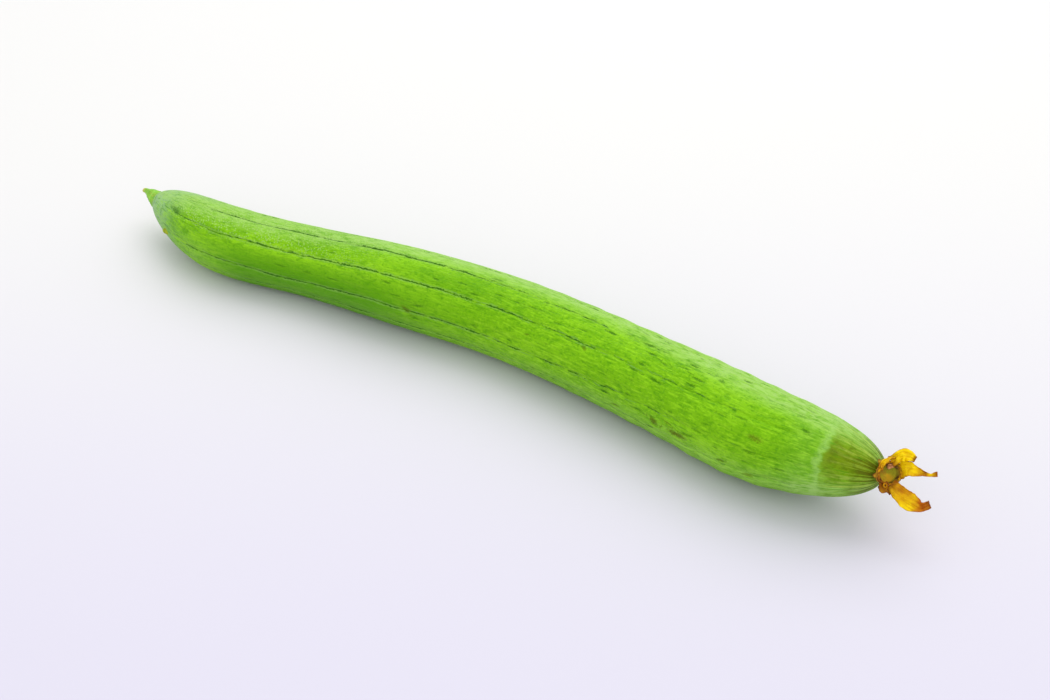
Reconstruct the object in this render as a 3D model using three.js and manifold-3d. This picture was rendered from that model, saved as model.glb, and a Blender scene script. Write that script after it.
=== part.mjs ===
// A long ridge gourd as picked, lying on its side, with its stem stub and its withered flower.
// Millimetres. +X runs from the stem end to the blossom end, +Z is up and -Y is the near side.
// The origin is the middle one of the three flat spots that the fruit rests on.
import * as THREE from 'three';
import { mergeVertices } from 'three/addons/utils/BufferGeometryUtils.js';
import Module from 'manifold-3d';

const wasm = await Module();
wasm.setup();

// Fruit: its chord from pole to pole, and how far each end takes to round off
const FRUIT_LENGTH = 450;
const STEM_END_LENGTH = 72.5;
const BLOSSOM_END_LENGTH = 92;

// Body radius and sideways sway of the spine, at nine even stations from the stem end
const BODY_RADIUS = [18, 19, 19, 21, 21.5, 22, 23, 25, 28];
const SPINE_SWAY = [-12.5, -23, -13.5, -7, 0, -2, -7.5, -14.5, -12.5];

// Rest: three low points along the underside, each worn flat, with a slight rise between them
const FIRST_LOW_POINT = 95;
const LOW_POINT_SPACING = 130;
const RISE_BETWEEN_LOW_POINTS = 0.8;
const FLAT_DEPTH = 0.5;

// Ridges: the sunken lines between them, in degrees from the top towards the near side
const LINE_ANGLES = [5, 43, 86, 117, 152, 203, 238, 271, 303, 334];
const RIDGE_CROWN = 0.35;
const LINE_DEPTH = 0.5;
const LINE_HALF_WIDTH = 0.8;
const LINES_START = 14;
const LINES_FADE = 36;
const STEM_SIDE_DRIFT = { degrees: 5.5, centre: 108, spread: 32 };
const BLOSSOM_SIDE_DRIFT = { degrees: -12, from: 230, to: 430 };

// Uneven swellings of the blossom half and the pleats round its pole
const SWELLING = 0.35;
const SWELLING_LENGTHS = [31, 47];
const SWELLING_FROM = 190;
const SWELLING_FULL = 330;
const PLEAT_DEPTH = 0.3;
const PLEATS_PER_RIDGE = 2;
const PLEAT_LENGTH = 34;

// Corky scar near the stem end
const SCAR = { station: 30, angle: 96, length: 6, width: 3.4, height: 1.4 };

// Stem stub: radius and rise along its length, from inside the fruit to the cut tip
const STEM_PATH = [[-5, 0], [0, 0], [5.5, 0.8], [9.4, 0.6], [12, -0.4]];
const STEM_RADIUS = [4.8, 4.7, 3.8, 2.3, 1.3];
const STEM_RIBS = 5;
const STEM_RIB_HEIGHT = 0.18;

// Flower: where its cup sits beside the fruit's pole, the way it faces, and how far it is squashed
const CUP_SHIFT = new THREE.Vector3(0, -1.2, 2.1);
const CUP_FACING = new THREE.Vector3(0.72, -0.36, 0.59).normalize();
const CUP_SQUASH = 0.82;
const CUP_HEIGHT = 3.7;
const CUP_RIM_RADIUS = 6.8;
const CUP_WALL = 1;
const RING_RADIUS = 6.2;
const RING_THICKNESS = 1.2;
const SEPAL_ANGLES = [58, 130, 215, 278, 345];
const SEPAL_WIDTH = 3.6;
const FLOOR_RADIUS = 4.2;
const STYLE_SHIFT = 2;

// Gap that touching pieces keep
const GAP = 0.3;
const POLE_GAP = 0.4;

// Blades of the petals and sepals
const BLADE_THICKNESS = 0.7;

// Mesh fineness
const END_RINGS = 9;
const BODY_RINGS = 32;
const RIDGE_COLUMNS = [0, 0.08, 0.22, 0.5, 0.78, 0.92];
const CUP_SIDES = 24;
const PETAL_GRID = { rows: 10, columns: 5 };
const SEPAL_GRID = { rows: 5, columns: 4 };

/** Smooth value at share t of a run of evenly spaced values. */
function spline(values, t) {
  const last = values.length - 1;
  const place = THREE.MathUtils.clamp(t, 0, 1) * last;
  const i = Math.min(Math.floor(place), last - 1);
  const w = place - i;
  const before = i > 0 ? values[i - 1] : 2 * values[0] - values[1];
  const after = i < last - 1 ? values[i + 2] : 2 * values[last] - values[last - 1];
  const slopeHere = (values[i + 1] - before) / 2;
  const slopeNext = (after - values[i]) / 2;
  const step = values[i + 1] - values[i];
  const bend = 3 * step - 2 * slopeHere - slopeNext;
  const twist = slopeHere + slopeNext - 2 * step;
  return values[i] + w * (slopeHere + w * (bend + w * twist));
}

/** Share of a quarter ellipse at distance d from its pole. */
function ellipseShare(d, length) {
  return d < length ? Math.sqrt(Math.max(0, 1 - (1 - d / length) ** 2)) : 1;
}

function bell(x, centre, spread) {
  return Math.exp(-(((x - centre) / spread) ** 2));
}

/** Point of the fruit's spine at station s, counted along the chord from the stem pole. */
function spinePoint(s) {
  const t = s / FRUIT_LENGTH;
  const wave = Math.sin((Math.PI * (s - FIRST_LOW_POINT)) / LOW_POINT_SPACING) ** 2;
  const height = spline(BODY_RADIUS, t) + RISE_BETWEEN_LOW_POINTS * wave - FLAT_DEPTH;
  return new THREE.Vector3(s - FRUIT_LENGTH / 2, spline(SPINE_SWAY, t), height);
}

/** Direction of the spine at station s, and the two directions of its cross-section. */
function spineFrame(s) {
  const a = spinePoint(Math.max(s - 1, 0));
  const b = spinePoint(Math.min(s + 1, FRUIT_LENGTH));
  const along = b.sub(a).normalize();
  const near = along.clone().cross(new THREE.Vector3(0, 0, 1)).normalize();
  const top = near.clone().cross(along);
  return { along, near, top };
}

function fruitRadius(s) {
  const ends = ellipseShare(s, STEM_END_LENGTH) * ellipseShare(FRUIT_LENGTH - s, BLOSSOM_END_LENGTH);
  return spline(BODY_RADIUS, s / FRUIT_LENGTH) * ends;
}

/** Angle of a line at station s: the lines drift a little round the fruit. */
function lineAngle(line, s) {
  const turns = Math.floor(line / LINE_ANGLES.length);
  const rest = LINE_ANGLES[line - turns * LINE_ANGLES.length];
  const stemSide = STEM_SIDE_DRIFT.degrees * bell(s, STEM_SIDE_DRIFT.centre, STEM_SIDE_DRIFT.spread);
  const ramp = THREE.MathUtils.smoothstep(s, BLOSSOM_SIDE_DRIFT.from, BLOSSOM_SIDE_DRIFT.to);
  const drift = stemSide + BLOSSOM_SIDE_DRIFT.degrees * ramp;
  return rest + 360 * turns + drift * Math.sin(THREE.MathUtils.degToRad(rest));
}

/** Height of the skin over the plain round body, at share f of the way from one line to the next. */
function relief(s, line, f, ridgeWidth) {
  const fromEnds = Math.min(s, FRUIT_LENGTH - s);
  const fade = THREE.MathUtils.smoothstep(fromEnds, LINES_START, LINES_START + LINES_FADE);
  const fromLine = Math.min(f, 1 - f) * ridgeWidth;
  const crown = RIDGE_CROWN * (Math.sin(Math.PI * f) - 1);
  const groove = LINE_DEPTH * bell(fromLine, 0, LINE_HALF_WIDTH);
  const turn = (2 * Math.PI * (line + f)) / LINE_ANGLES.length;
  const swell = Math.sin((2 * Math.PI * s) / SWELLING_LENGTHS[0] + 3 * turn)
    * Math.sin((2 * Math.PI * s) / SWELLING_LENGTHS[1] - 2 * turn);
  const swelling = SWELLING * swell * THREE.MathUtils.smoothstep(s, SWELLING_FROM, SWELLING_FULL);
  const nearPole = bell(FRUIT_LENGTH - s, PLEAT_LENGTH / 2, PLEAT_LENGTH / 3);
  const pleats = PLEAT_DEPTH * nearPole * (Math.cos(2 * Math.PI * PLEATS_PER_RIDGE * f) - 1) / 2;
  return fade * (crown - groove + swelling) + pleats;
}

/** Point of the skin at station s, at share f of the way from one line to the next. */
function skinPoint(s, line, f) {
  const start = lineAngle(line, s);
  const end = lineAngle(line + 1, s);
  const angle = THREE.MathUtils.degToRad(start + (end - start) * f);
  const radius = fruitRadius(s);
  const ridgeWidth = radius * THREE.MathUtils.degToRad(end - start);
  const height = radius + relief(s, line, f, ridgeWidth);
  const { near, top } = spineFrame(s);
  return spinePoint(s)
    .addScaledVector(top, height * Math.cos(angle))
    .addScaledVector(near, height * Math.sin(angle));
}

/** Closed geometry from triangles between numbered points. */
function closedGeometry(points, triangles) {
  const geometry = new THREE.BufferGeometry().setFromPoints(points);
  geometry.setIndex(triangles.flat());
  return geometry;
}

/** Closed geometry of rings between a start point and an end point, turning by the right hand on the way. */
function ringGeometry(start, rings, end) {
  const size = rings[0].length;
  const points = [start, ...rings.flat(), end];
  const triangles = [];
  for (let j = 0; j < size; j += 1) {
    const next = (j + 1) % size;
    const lastRing = 1 + (rings.length - 1) * size;
    triangles.push([0, 1 + next, 1 + j]);
    triangles.push([points.length - 1, lastRing + j, lastRing + next]);
    for (let i = 1; i < lastRing; i += size) {
      triangles.push([i + j, i + next, i + size + next]);
      triangles.push([i + j, i + size + next, i + size + j]);
    }
  }
  return closedGeometry(points, triangles);
}

/** Closed solid for joining and cutting. */
function toSolid(geometry) {
  const bare = geometry.clone();
  bare.deleteAttribute('normal');
  bare.deleteAttribute('uv');
  const merged = mergeVertices(bare);
  const corners = Array.from(merged.index.array);
  const triVerts = [];
  for (let i = 0; i < corners.length; i += 3) {
    const [a, b, c] = corners.slice(i, i + 3);
    if (a !== b && b !== c && c !== a) {
      triVerts.push(a, b, c);
    }
  }
  return new wasm.Manifold(new wasm.Mesh({
    numProp: 3,
    vertProperties: new Float32Array(merged.attributes.position.array),
    triVerts: new Uint32Array(triVerts),
  }));
}

function toGeometry(solid) {
  const { vertProperties, triVerts } = solid.getMesh();
  const geometry = new THREE.BufferGeometry();
  geometry.setAttribute('position', new THREE.BufferAttribute(vertProperties, 3));
  geometry.setIndex(new THREE.BufferAttribute(triVerts, 1));
  return geometry;
}

/** Stations of the rings: close together where the ends round off, even between them. */
function ringStations() {
  const stations = [];
  for (let i = 1; i <= END_RINGS; i += 1) {
    stations.push(STEM_END_LENGTH * (1 - Math.cos((Math.PI / 2) * (i / END_RINGS))));
  }
  const body = FRUIT_LENGTH - STEM_END_LENGTH - BLOSSOM_END_LENGTH;
  for (let i = 1; i < BODY_RINGS; i += 1) {
    stations.push(STEM_END_LENGTH + (body * i) / BODY_RINGS);
  }
  for (let i = END_RINGS; i >= 1; i -= 1) {
    stations.push(FRUIT_LENGTH - BLOSSOM_END_LENGTH * (1 - Math.cos((Math.PI / 2) * (i / END_RINGS))));
  }
  return stations;
}

/** Geometry of the fruit's skin, closed at both poles. */
function skinGeometry() {
  const rings = ringStations().map((s) => LINE_ANGLES.flatMap(
    (_, line) => RIDGE_COLUMNS.map((f) => skinPoint(s, line, f)),
  ));
  return ringGeometry(spinePoint(0), rings, spinePoint(FRUIT_LENGTH));
}

/** Low corky scar, sunk to its middle in the skin. */
function scarGeometry() {
  const { station, angle, length, width, height } = SCAR;
  const { along, near, top } = spineFrame(station);
  const turn = THREE.MathUtils.degToRad(angle);
  const outward = top.multiplyScalar(Math.cos(turn)).addScaledVector(near, Math.sin(turn));
  const across = along.clone().cross(outward);
  const place = spinePoint(station).addScaledVector(outward, fruitRadius(station) - height / 4);
  const scar = new THREE.SphereGeometry(1, 12, 8).scale(length / 2, width / 2, height);
  const turned = new THREE.Matrix4().makeBasis(along, across.negate(), outward.clone());
  return scar.applyMatrix4(turned).translate(place.x, place.y, place.z);
}

/** The fruit: its skin and scar, with the three rest spots cut flat at the surface it lies on. */
function fruitSolid() {
  const depth = 20;
  const floor = new THREE.BoxGeometry(FRUIT_LENGTH, FRUIT_LENGTH, depth).translate(0, 0, -depth / 2);
  return toSolid(skinGeometry()).add(toSolid(scarGeometry())).subtract(toSolid(floor));
}

/** What is cut away from a piece that sits on a pole: the whole fruit, moved outwards by the gap. */
function poleCutter(direction) {
  return toSolid(skinGeometry().translate(direction * POLE_GAP, 0, 0));
}

/** Stem stub: a ribbed, slightly hooked cone, hollowed at its foot where it meets the fruit. */
function stemSolid() {
  const pole = spinePoint(0);
  const { along, near, top } = spineFrame(0);
  const path = new THREE.CatmullRomCurve3(STEM_PATH.map(
    ([out, rise]) => pole.clone().addScaledVector(along, -out).addScaledVector(top, rise),
  ));
  const ringCount = 12;
  const columnCount = STEM_RIBS * 4;
  const rings = [];
  for (let i = 0; i <= ringCount; i += 1) {
    const t = i / ringCount;
    const radius = spline(STEM_RADIUS, t);
    const ring = [];
    for (let j = 0; j < columnCount; j += 1) {
      const turn = (-2 * Math.PI * j) / columnCount;
      const ribbed = radius + STEM_RIB_HEIGHT * (Math.cos(STEM_RIBS * turn) - 1) * Math.min(1, 2 * (1 - t));
      const point = path.getPoint(t)
        .addScaledVector(top, ribbed * Math.cos(turn))
        .addScaledVector(near, ribbed * Math.sin(turn));
      ring.push(point);
    }
    rings.push(ring);
  }
  const stem = ringGeometry(path.getPoint(0), rings, path.getPoint(1));
  return toSolid(stem).subtract(poleCutter(-1));
}

/** Thin closed blade along a curve: a grid on each face, both split alike, joined round the edge. */
function bladeGeometry({
  path, facing, widths, rows, columns, trough = 0, ripple = 0, ripples = 2, thickness = BLADE_THICKNESS,
}) {
  const curve = new THREE.CatmullRomCurve3(path);
  const middle = [];
  const normals = [];
  for (let i = 0; i <= rows; i += 1) {
    const t = i / rows;
    const along = curve.getTangent(t);
    const outward = facing[0].clone().lerp(facing[1], t);
    outward.addScaledVector(along, -outward.dot(along)).normalize();
    const across = along.clone().cross(outward);
    const halfWidth = spline(widths, t) / 2;
    for (let j = 0; j <= columns; j += 1) {
      const v = (2 * j) / columns - 1;
      const wave = ripple * Math.sin(2 * Math.PI * ripples * t + v) * v;
      const lift = trough * v * v * halfWidth + wave;
      const point = curve.getPoint(t).addScaledVector(across, v * halfWidth).addScaledVector(outward, lift);
      middle.push(point);
      normals.push(outward.clone().addScaledVector(across, -2 * trough * v).normalize());
    }
  }
  const half = thickness / 2;
  const upper = middle.map((point, k) => point.clone().addScaledVector(normals[k], half));
  const lower = middle.map((point, k) => point.clone().addScaledVector(normals[k], -half));
  const under = middle.length;
  const wide = columns + 1;
  const triangles = [];
  for (let i = 0; i < rows; i += 1) {
    for (let j = 0; j < columns; j += 1) {
      const a = i * wide + j;
      const b = a + 1;
      const c = a + wide + 1;
      const d = a + wide;
      triangles.push([a, b, c], [a, c, d]);
      triangles.push([under + a, under + c, under + b], [under + a, under + d, under + c]);
    }
  }
  const rim = [];
  for (let j = 0; j < columns; j += 1) {
    rim.push(j);
  }
  for (let i = 0; i < rows; i += 1) {
    rim.push(i * wide + columns);
  }
  for (let j = columns; j > 0; j -= 1) {
    rim.push(rows * wide + j);
  }
  for (let i = rows; i > 0; i -= 1) {
    rim.push(i * wide);
  }
  rim.forEach((here, k) => {
    const next = rim[(k + 1) % rim.length];
    triangles.push([here, under + here, under + next], [here, under + next, next]);
  });
  return closedGeometry([...upper, ...lower], triangles);
}

// Frame of the flower's cup: which way it faces, its upper side, and where its foot is
const CUP_TOP = new THREE.Vector3(0, 0, 1).projectOnPlane(CUP_FACING).normalize();
const CUP_SIDE = CUP_TOP.clone().cross(CUP_FACING);
const CUP_FOOT = spinePoint(FRUIT_LENGTH).add(CUP_SHIFT);

/** Point of the flower: angle round the cup from its upper side, distance from its axis, height over foot. */
function cupPoint(angle, radius, height) {
  const turn = THREE.MathUtils.degToRad(angle);
  return CUP_FOOT.clone()
    .addScaledVector(CUP_FACING, height)
    .addScaledVector(CUP_TOP, CUP_SQUASH * radius * Math.cos(turn))
    .addScaledVector(CUP_SIDE, radius * Math.sin(turn));
}

/** Puts a turned geometry, drawn round the Y axis, on the cup's axis, squashed as the cup is. */
function onCup(geometry) {
  const turned = new THREE.Matrix4().makeBasis(CUP_SIDE, CUP_FACING, CUP_SIDE.clone().cross(CUP_FACING));
  return geometry.scale(1, 1, CUP_SQUASH).applyMatrix4(turned).translate(CUP_FOOT.x, CUP_FOOT.y, CUP_FOOT.z);
}

function sepalGeometry(angle) {
  const root = cupPoint(angle, CUP_RIM_RADIUS - 1.6, CUP_HEIGHT - 1.6);
  const path = [
    root,
    cupPoint(angle, CUP_RIM_RADIUS + 0.5, CUP_HEIGHT - 1.4),
    cupPoint(angle + 4, CUP_RIM_RADIUS + 1.6, CUP_HEIGHT - 2.2),
    cupPoint(angle + 7, CUP_RIM_RADIUS + 2.1, CUP_HEIGHT - 3.4),
  ];
  const facing = [CUP_FACING, CUP_FACING];
  const widths = [SEPAL_WIDTH, SEPAL_WIDTH, 0.75 * SEPAL_WIDTH, 0.25 * SEPAL_WIDTH];
  return bladeGeometry({ path, facing, widths, trough: 0.25, ...SEPAL_GRID });
}

/** Calyx: a shallow cup on a short bent neck, with five dried sepals that make way for the petals. */
function calyxSolid() {
  const profile = [
    [0, -5], [3.4, -5], [5.2, -1.5], [5.4, 0.6], [5.3, 1.5], [6.1, 2.6],
    [CUP_RIM_RADIUS, CUP_HEIGHT - 0.4], [CUP_RIM_RADIUS - 0.4, CUP_HEIGHT],
    [CUP_RIM_RADIUS - CUP_WALL, CUP_HEIGHT - 0.1], [FLOOR_RADIUS + 0.8, 2.3], [FLOOR_RADIUS, 1.8], [0, 1.7],
  ].map(([radius, height]) => new THREE.Vector2(radius, height));
  let cup = toSolid(onCup(new THREE.LatheGeometry(profile, CUP_SIDES)));
  for (const angle of SEPAL_ANGLES) {
    cup = cup.add(toSolid(sepalGeometry(angle)));
  }
  for (const petal of PETALS) {
    const widths = petal.widths.map((width) => width + 2 * GAP);
    cup = cup.subtract(toSolid(petalGeometry({ ...petal, widths, thickness: BLADE_THICKNESS + 2 * GAP })));
  }
  return cup.subtract(poleCutter(1));
}

// Petals: each starts on the ring over the cup's rim, and runs through points given from the rim's middle
// as forward, towards the near side and up
const RIM_MIDDLE = cupPoint(0, 0, CUP_HEIGHT);
const PETALS = [
  {
    root: 22,
    points: [[1.7, -5, 6.9], [4.3, -6, 8.6], [7.8, -6.7, 8.3], [10.5, -7.6, 8]],
    facing: [[0.2, 0.5, 0.8], [0.5, 0.6, 0.6]],
    widths: [2.4, 3.8, 5.6, 4.4, 1.6],
    trough: 0.15,
    ripple: 0.4,
  },
  {
    root: 94,
    points: [[7.2, -4.3, 2.7], [11.1, -4.2, 3.1], [15, -4.2, 3.6], [18.2, -4.4, 4.3], [21, -5.6, 5]],
    facing: [[0.3, 0.7, 0.6], [0.2, 0.5, 0.9]],
    widths: [7.5, 6.5, 4.5, 2.3, 1.6, 2.6],
    trough: 0.2,
    ripple: 0.3,
  },
  {
    root: 190,
    points: [[6.6, 3.9, -3.9], [10.2, 4.2, -5.9], [14.6, 4.1, -7.6], [18.9, 3.7, -8.6], [22.4, 2.2, -6.2]],
    facing: [[0.1, 0.8, 0.6], [-0.1, 0.6, 0.8]],
    widths: [4, 6, 7.5, 7.2, 4.4, 3.6],
    trough: 0.25,
    ripple: 0.4,
  },
  {
    root: 245,
    points: [[0.5, 7.3, -2.8], [2.4, 7.3, -4.6], [4.2, 6.4, -5.8]],
    facing: [[0.9, 0.4, 0.6], [-0.6, 0.9, -0.6]],
    widths: [2.6, 3.6, 2.8, 1.8],
    trough: 0.3,
    ripple: 0.3,
  },
  {
    root: 312,
    points: [[-3.5, 1.5, 5.2], [-2.4, -1.4, 6.8], [-0.2, -4.2, 7.4]],
    facing: [[0.9, 0.4, 0.6], [-0.9, 0.3, 0.9]],
    widths: [2.4, 2.8, 2.6, 1.4],
    trough: 0.3,
    ripple: 0.3,
  },
];

function petalGeometry({ root, points, facing, ...shape }) {
  const start = cupPoint(root, RING_RADIUS, CUP_HEIGHT + GAP + RING_THICKNESS / 2);
  const path = [start, ...points.map(([forward, near, up]) => (
    RIM_MIDDLE.clone().add(new THREE.Vector3(forward, -near, up))
  ))];
  const directions = facing.map(([forward, near, up]) => new THREE.Vector3(forward, -near, up).normalize());
  return bladeGeometry({ path, facing: directions, ...PETAL_GRID, ...shape });
}

/** Corolla: five withered petals, grown together in a ring at their feet. */
function corollaSolid() {
  const section = [];
  const sides = 6;
  for (let i = 0; i <= sides; i += 1) {
    const turn = (2 * Math.PI * i) / sides;
    const half = RING_THICKNESS / 2;
    section.push(new THREE.Vector2(
      RING_RADIUS + half * Math.cos(turn),
      CUP_HEIGHT + GAP + half + half * Math.sin(turn),
    ));
  }
  let corolla = toSolid(onCup(new THREE.LatheGeometry(section, CUP_SIDES)));
  for (const petal of PETALS) {
    corolla = corolla.add(toSolid(petalGeometry(petal)));
  }
  return corolla;
}

/** Style: a short dried column with three stigma lobes, on the upper side of the cup's floor. */
function styleSolid() {
  const foot = 1.8 + GAP;
  const profile = [[0, foot], [1.3, foot], [1.1, foot + 1], [1.1, foot + 1.6], [0, foot + 1.8]]
    .map(([radius, height]) => new THREE.Vector2(radius, height));
  let style = toSolid(onCup(new THREE.LatheGeometry(profile, 12)));
  for (const angle of [0, 120, 240]) {
    const place = cupPoint(angle, 1.1, foot + 1.9);
    const lobe = new THREE.SphereGeometry(1.2, 10, 8).translate(place.x, place.y, place.z);
    style = style.add(toSolid(lobe));
  }
  return style.translate(CUP_TOP.clone().multiplyScalar(STYLE_SHIFT).toArray());
}

/** Named mesh with its own finish. */
function piece(name, solid, color, roughness) {
  const finish = new THREE.MeshStandardMaterial({ color, roughness, metalness: 0 });
  const mesh = new THREE.Mesh(toGeometry(solid), finish);
  mesh.name = name;
  return mesh;
}

const gourd = new THREE.Group();
gourd.name = 'ridge_gourd';
gourd.add(piece('fruit', fruitSolid(), '#76b416', 0.4));
gourd.add(piece('stem', stemSolid(), '#98cf52', 0.6));
gourd.add(piece('calyx', calyxSolid(), '#a8921c', 0.7));
gourd.add(piece('corolla', corollaSolid(), '#eec208', 0.6));
gourd.add(piece('style', styleSolid(), '#b08a60', 0.8));

export default gourd;
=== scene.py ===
"""A long ridge gourd as picked, lying on its side, with its stem stub and its withered flower.

Sizes are in millimetres until a mesh is made. As in the frame, +X runs from the stem end to the blossom end,
+Z is up and -Y is the near side. Angles round the fruit are counted in degrees from the top to the near side.
"""

import logging
import math
import random
from dataclasses import dataclass, field
from enum import Enum
from typing import Any, Callable, Iterable, Sequence

import bpy
import numpy as np
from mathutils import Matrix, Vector, noise


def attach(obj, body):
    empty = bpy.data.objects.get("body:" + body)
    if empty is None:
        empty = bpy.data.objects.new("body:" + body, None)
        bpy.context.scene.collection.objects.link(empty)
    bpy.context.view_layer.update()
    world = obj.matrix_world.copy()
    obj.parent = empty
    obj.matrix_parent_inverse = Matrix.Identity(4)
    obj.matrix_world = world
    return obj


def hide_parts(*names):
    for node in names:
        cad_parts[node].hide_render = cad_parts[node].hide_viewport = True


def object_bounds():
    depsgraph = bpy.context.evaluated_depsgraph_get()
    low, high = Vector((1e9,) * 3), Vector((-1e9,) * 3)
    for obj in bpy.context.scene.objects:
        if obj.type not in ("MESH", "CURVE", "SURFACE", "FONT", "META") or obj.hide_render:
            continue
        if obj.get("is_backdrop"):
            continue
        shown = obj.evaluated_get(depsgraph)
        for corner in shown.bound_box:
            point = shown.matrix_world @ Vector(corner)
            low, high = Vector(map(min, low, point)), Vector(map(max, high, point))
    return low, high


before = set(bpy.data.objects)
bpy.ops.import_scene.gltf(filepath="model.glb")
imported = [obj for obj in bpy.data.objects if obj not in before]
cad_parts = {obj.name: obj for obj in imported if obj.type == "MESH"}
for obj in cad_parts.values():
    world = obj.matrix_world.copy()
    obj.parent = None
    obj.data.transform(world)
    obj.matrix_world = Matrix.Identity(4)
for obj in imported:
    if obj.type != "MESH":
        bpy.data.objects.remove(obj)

MM = 0.001
BODY = "root"
UP = np.array([0.0, 0.0, 1.0])
# How far the noise of one seed lies from that of the next
SEED_STEP = 17.3
# Rings and columns of a small lump, and the size of its dents as a share of its radii
LUMP_RINGS = 11
LUMP_COLUMNS = 20
LUMP_GRAIN = 0.8
log = logging.getLogger("ridge_gourd")

Numbers = Sequence[float]
Sockets = dict[Any, Any]
Adder = Callable[..., Any]


class Slot(Enum):
    """The record's material slots."""

    SKIN = "skin"
    STALK = "stalk"
    CUP = "cup"
    PETAL = "petal"
    STYLE = "style"


# Numbers and shapes

def run_of(values: Numbers, t: np.ndarray) -> np.ndarray:
    """Smooth values of a run of evenly spaced ones.

    Args:
        values: The run, which is carried on straight past its two ends.
        t: Shares of the way along it, from 0 to 1.

    Returns:
        One value for each share.
    """
    ends = 2 * values[0] - values[1], 2 * values[-1] - values[-2]
    v = np.array([ends[0], *values, ends[1]], float)
    place = np.clip(t, 0, 1) * (len(values) - 1)
    i = np.minimum(place.astype(int), len(values) - 2)
    w = place - i
    a, b, c, d = v[i], v[i + 1], v[i + 2], v[i + 3]
    return b + 0.5 * w * (c - a + w * (2 * a - 5 * b + 4 * c - d + w * (3 * b - a - 3 * c + d)))


def smoothstep(x: np.ndarray, low: float, high: float) -> np.ndarray:
    """0 below low, 1 above high and an even curve between them."""
    t = np.clip((x - low) / (high - low), 0, 1)
    return t * t * (3 - 2 * t)


def bell(x: np.ndarray, centre: float, spread: float) -> np.ndarray:
    """A bell curve of height 1."""
    return np.exp(-(((x - centre) / spread) ** 2))


def signed(angle: Any) -> Any:
    """Angles in degrees, brought between -180 and 180."""
    return (angle + 180) % 360 - 180


def unit(v: np.ndarray) -> np.ndarray:
    """Vectors of length 1."""
    return v / np.linalg.norm(v, axis=-1, keepdims=True)


def grain(points: np.ndarray, size: float, seed: float = 0) -> np.ndarray:
    """Smooth noise in space.

    Args:
        points: Where it is read, with x, y and z last.
        size: The size of its lumps.
        seed: Moves it to another place.

    Returns:
        Values from about -1 to 1, one for each point.
    """
    flat = points.reshape(-1, 3) / size + seed * SEED_STEP
    values = [noise.noise(Vector(p)) for p in flat.tolist()]
    return np.array(values).reshape(points.shape[:-1])


@dataclass
class Shell:
    """Closed surface: points, faces as lists of point numbers, and named vectors on the points."""

    points: np.ndarray
    faces: list[tuple[int, ...]]
    values: dict[str, np.ndarray] = field(default_factory=dict)

    def joined(self, others: Iterable["Shell"]) -> "Shell":
        """Joins shells in one.

        Args:
            others: Shells with the same named vectors as this one.

        Returns:
            This shell and the others, in their order.
        """
        shells = [self, *others]
        starts = np.cumsum([0, *(len(s.points) for s in shells)])
        faces = [tuple(int(start) + k for k in f) for s, start in zip(shells, starts) for f in s.faces]
        values = {name: np.concatenate([s.values[name] for s in shells]) for name in self.values}
        return Shell(np.concatenate([s.points for s in shells]), faces, values)


def ring_shell(start: np.ndarray, rings: np.ndarray, end: np.ndarray) -> Shell:
    """Closed surface of rings between two end points.

    Args:
        start: The first end point.
        rings: Points by ring and place in it, turning by the right hand on the way to the end.
        end: The last end point.

    Returns:
        The shell, without named vectors.
    """
    count, size = rings.shape[:2]
    points = np.concatenate([start[None], rings.reshape(-1, 3), end[None]])
    faces: list[tuple[int, ...]] = []
    last = 1 + (count - 1) * size
    for j in range(size):
        k = (j + 1) % size
        faces.append((0, 1 + k, 1 + j))
        faces.append((len(points) - 1, last + j, last + k))
        faces.extend((i + j, i + k, i + size + k, i + size + j) for i in range(1, last, size))
    return Shell(points, faces)


def torus_shell(points: np.ndarray) -> Shell:
    """Closed surface of a ring.

    Args:
        points: Points by place round its section and place round the ring.

    Returns:
        The shell, without named vectors.
    """
    around, size = points.shape[:2]
    faces = []
    for i in range(around):
        for j in range(size):
            k, m = (i + 1) % around, (j + 1) % size
            faces.append((i * size + j, k * size + j, k * size + m, i * size + m))
    return Shell(points.reshape(-1, 3), faces)


def on_rings(by_point: np.ndarray) -> np.ndarray:
    """Vectors given by ring and place, for all points of a ring shell with its two ends."""
    return np.concatenate([by_point[0].mean(0)[None], by_point.reshape(-1, 3), by_point[-1].mean(0)[None]])


def sheet_shell(middle: np.ndarray, thickness: np.ndarray) -> Shell:
    """Closed thin surface on both sides of a grid of points.

    Args:
        middle: Points by row and column.
        thickness: Thickness at each of them.

    Returns:
        The shell, without named vectors. Its first half of points is the upper side.
    """
    rows, columns = middle.shape[:2]
    down = np.gradient(middle, axis=0)
    right = np.gradient(middle, axis=1)
    never_zero = 1e-12
    normal = unit(np.cross(right, down) + never_zero)
    half = thickness[..., None] / 2
    upper = (middle + normal * half).reshape(-1, 3)
    lower = (middle - normal * half).reshape(-1, 3)
    under = rows * columns
    faces: list[tuple[int, ...]] = []
    for i in range(rows - 1):
        for j in range(columns - 1):
            a = i * columns + j
            faces.append((a, a + 1, a + columns + 1, a + columns)[::-1])
            faces.append((under + a, under + a + 1, under + a + columns + 1, under + a + columns))
    rim = list(range(columns - 1))
    rim += [i * columns + columns - 1 for i in range(rows - 1)]
    rim += [(rows - 1) * columns + j for j in range(columns - 1, 0, -1)]
    rim += [i * columns for i in range(rows - 1, 0, -1)]
    for here, after in zip(rim, rim[1:] + rim[:1]):
        faces.append((here, after, under + after, under + here))
    return Shell(np.concatenate([upper, lower]), faces)


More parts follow.
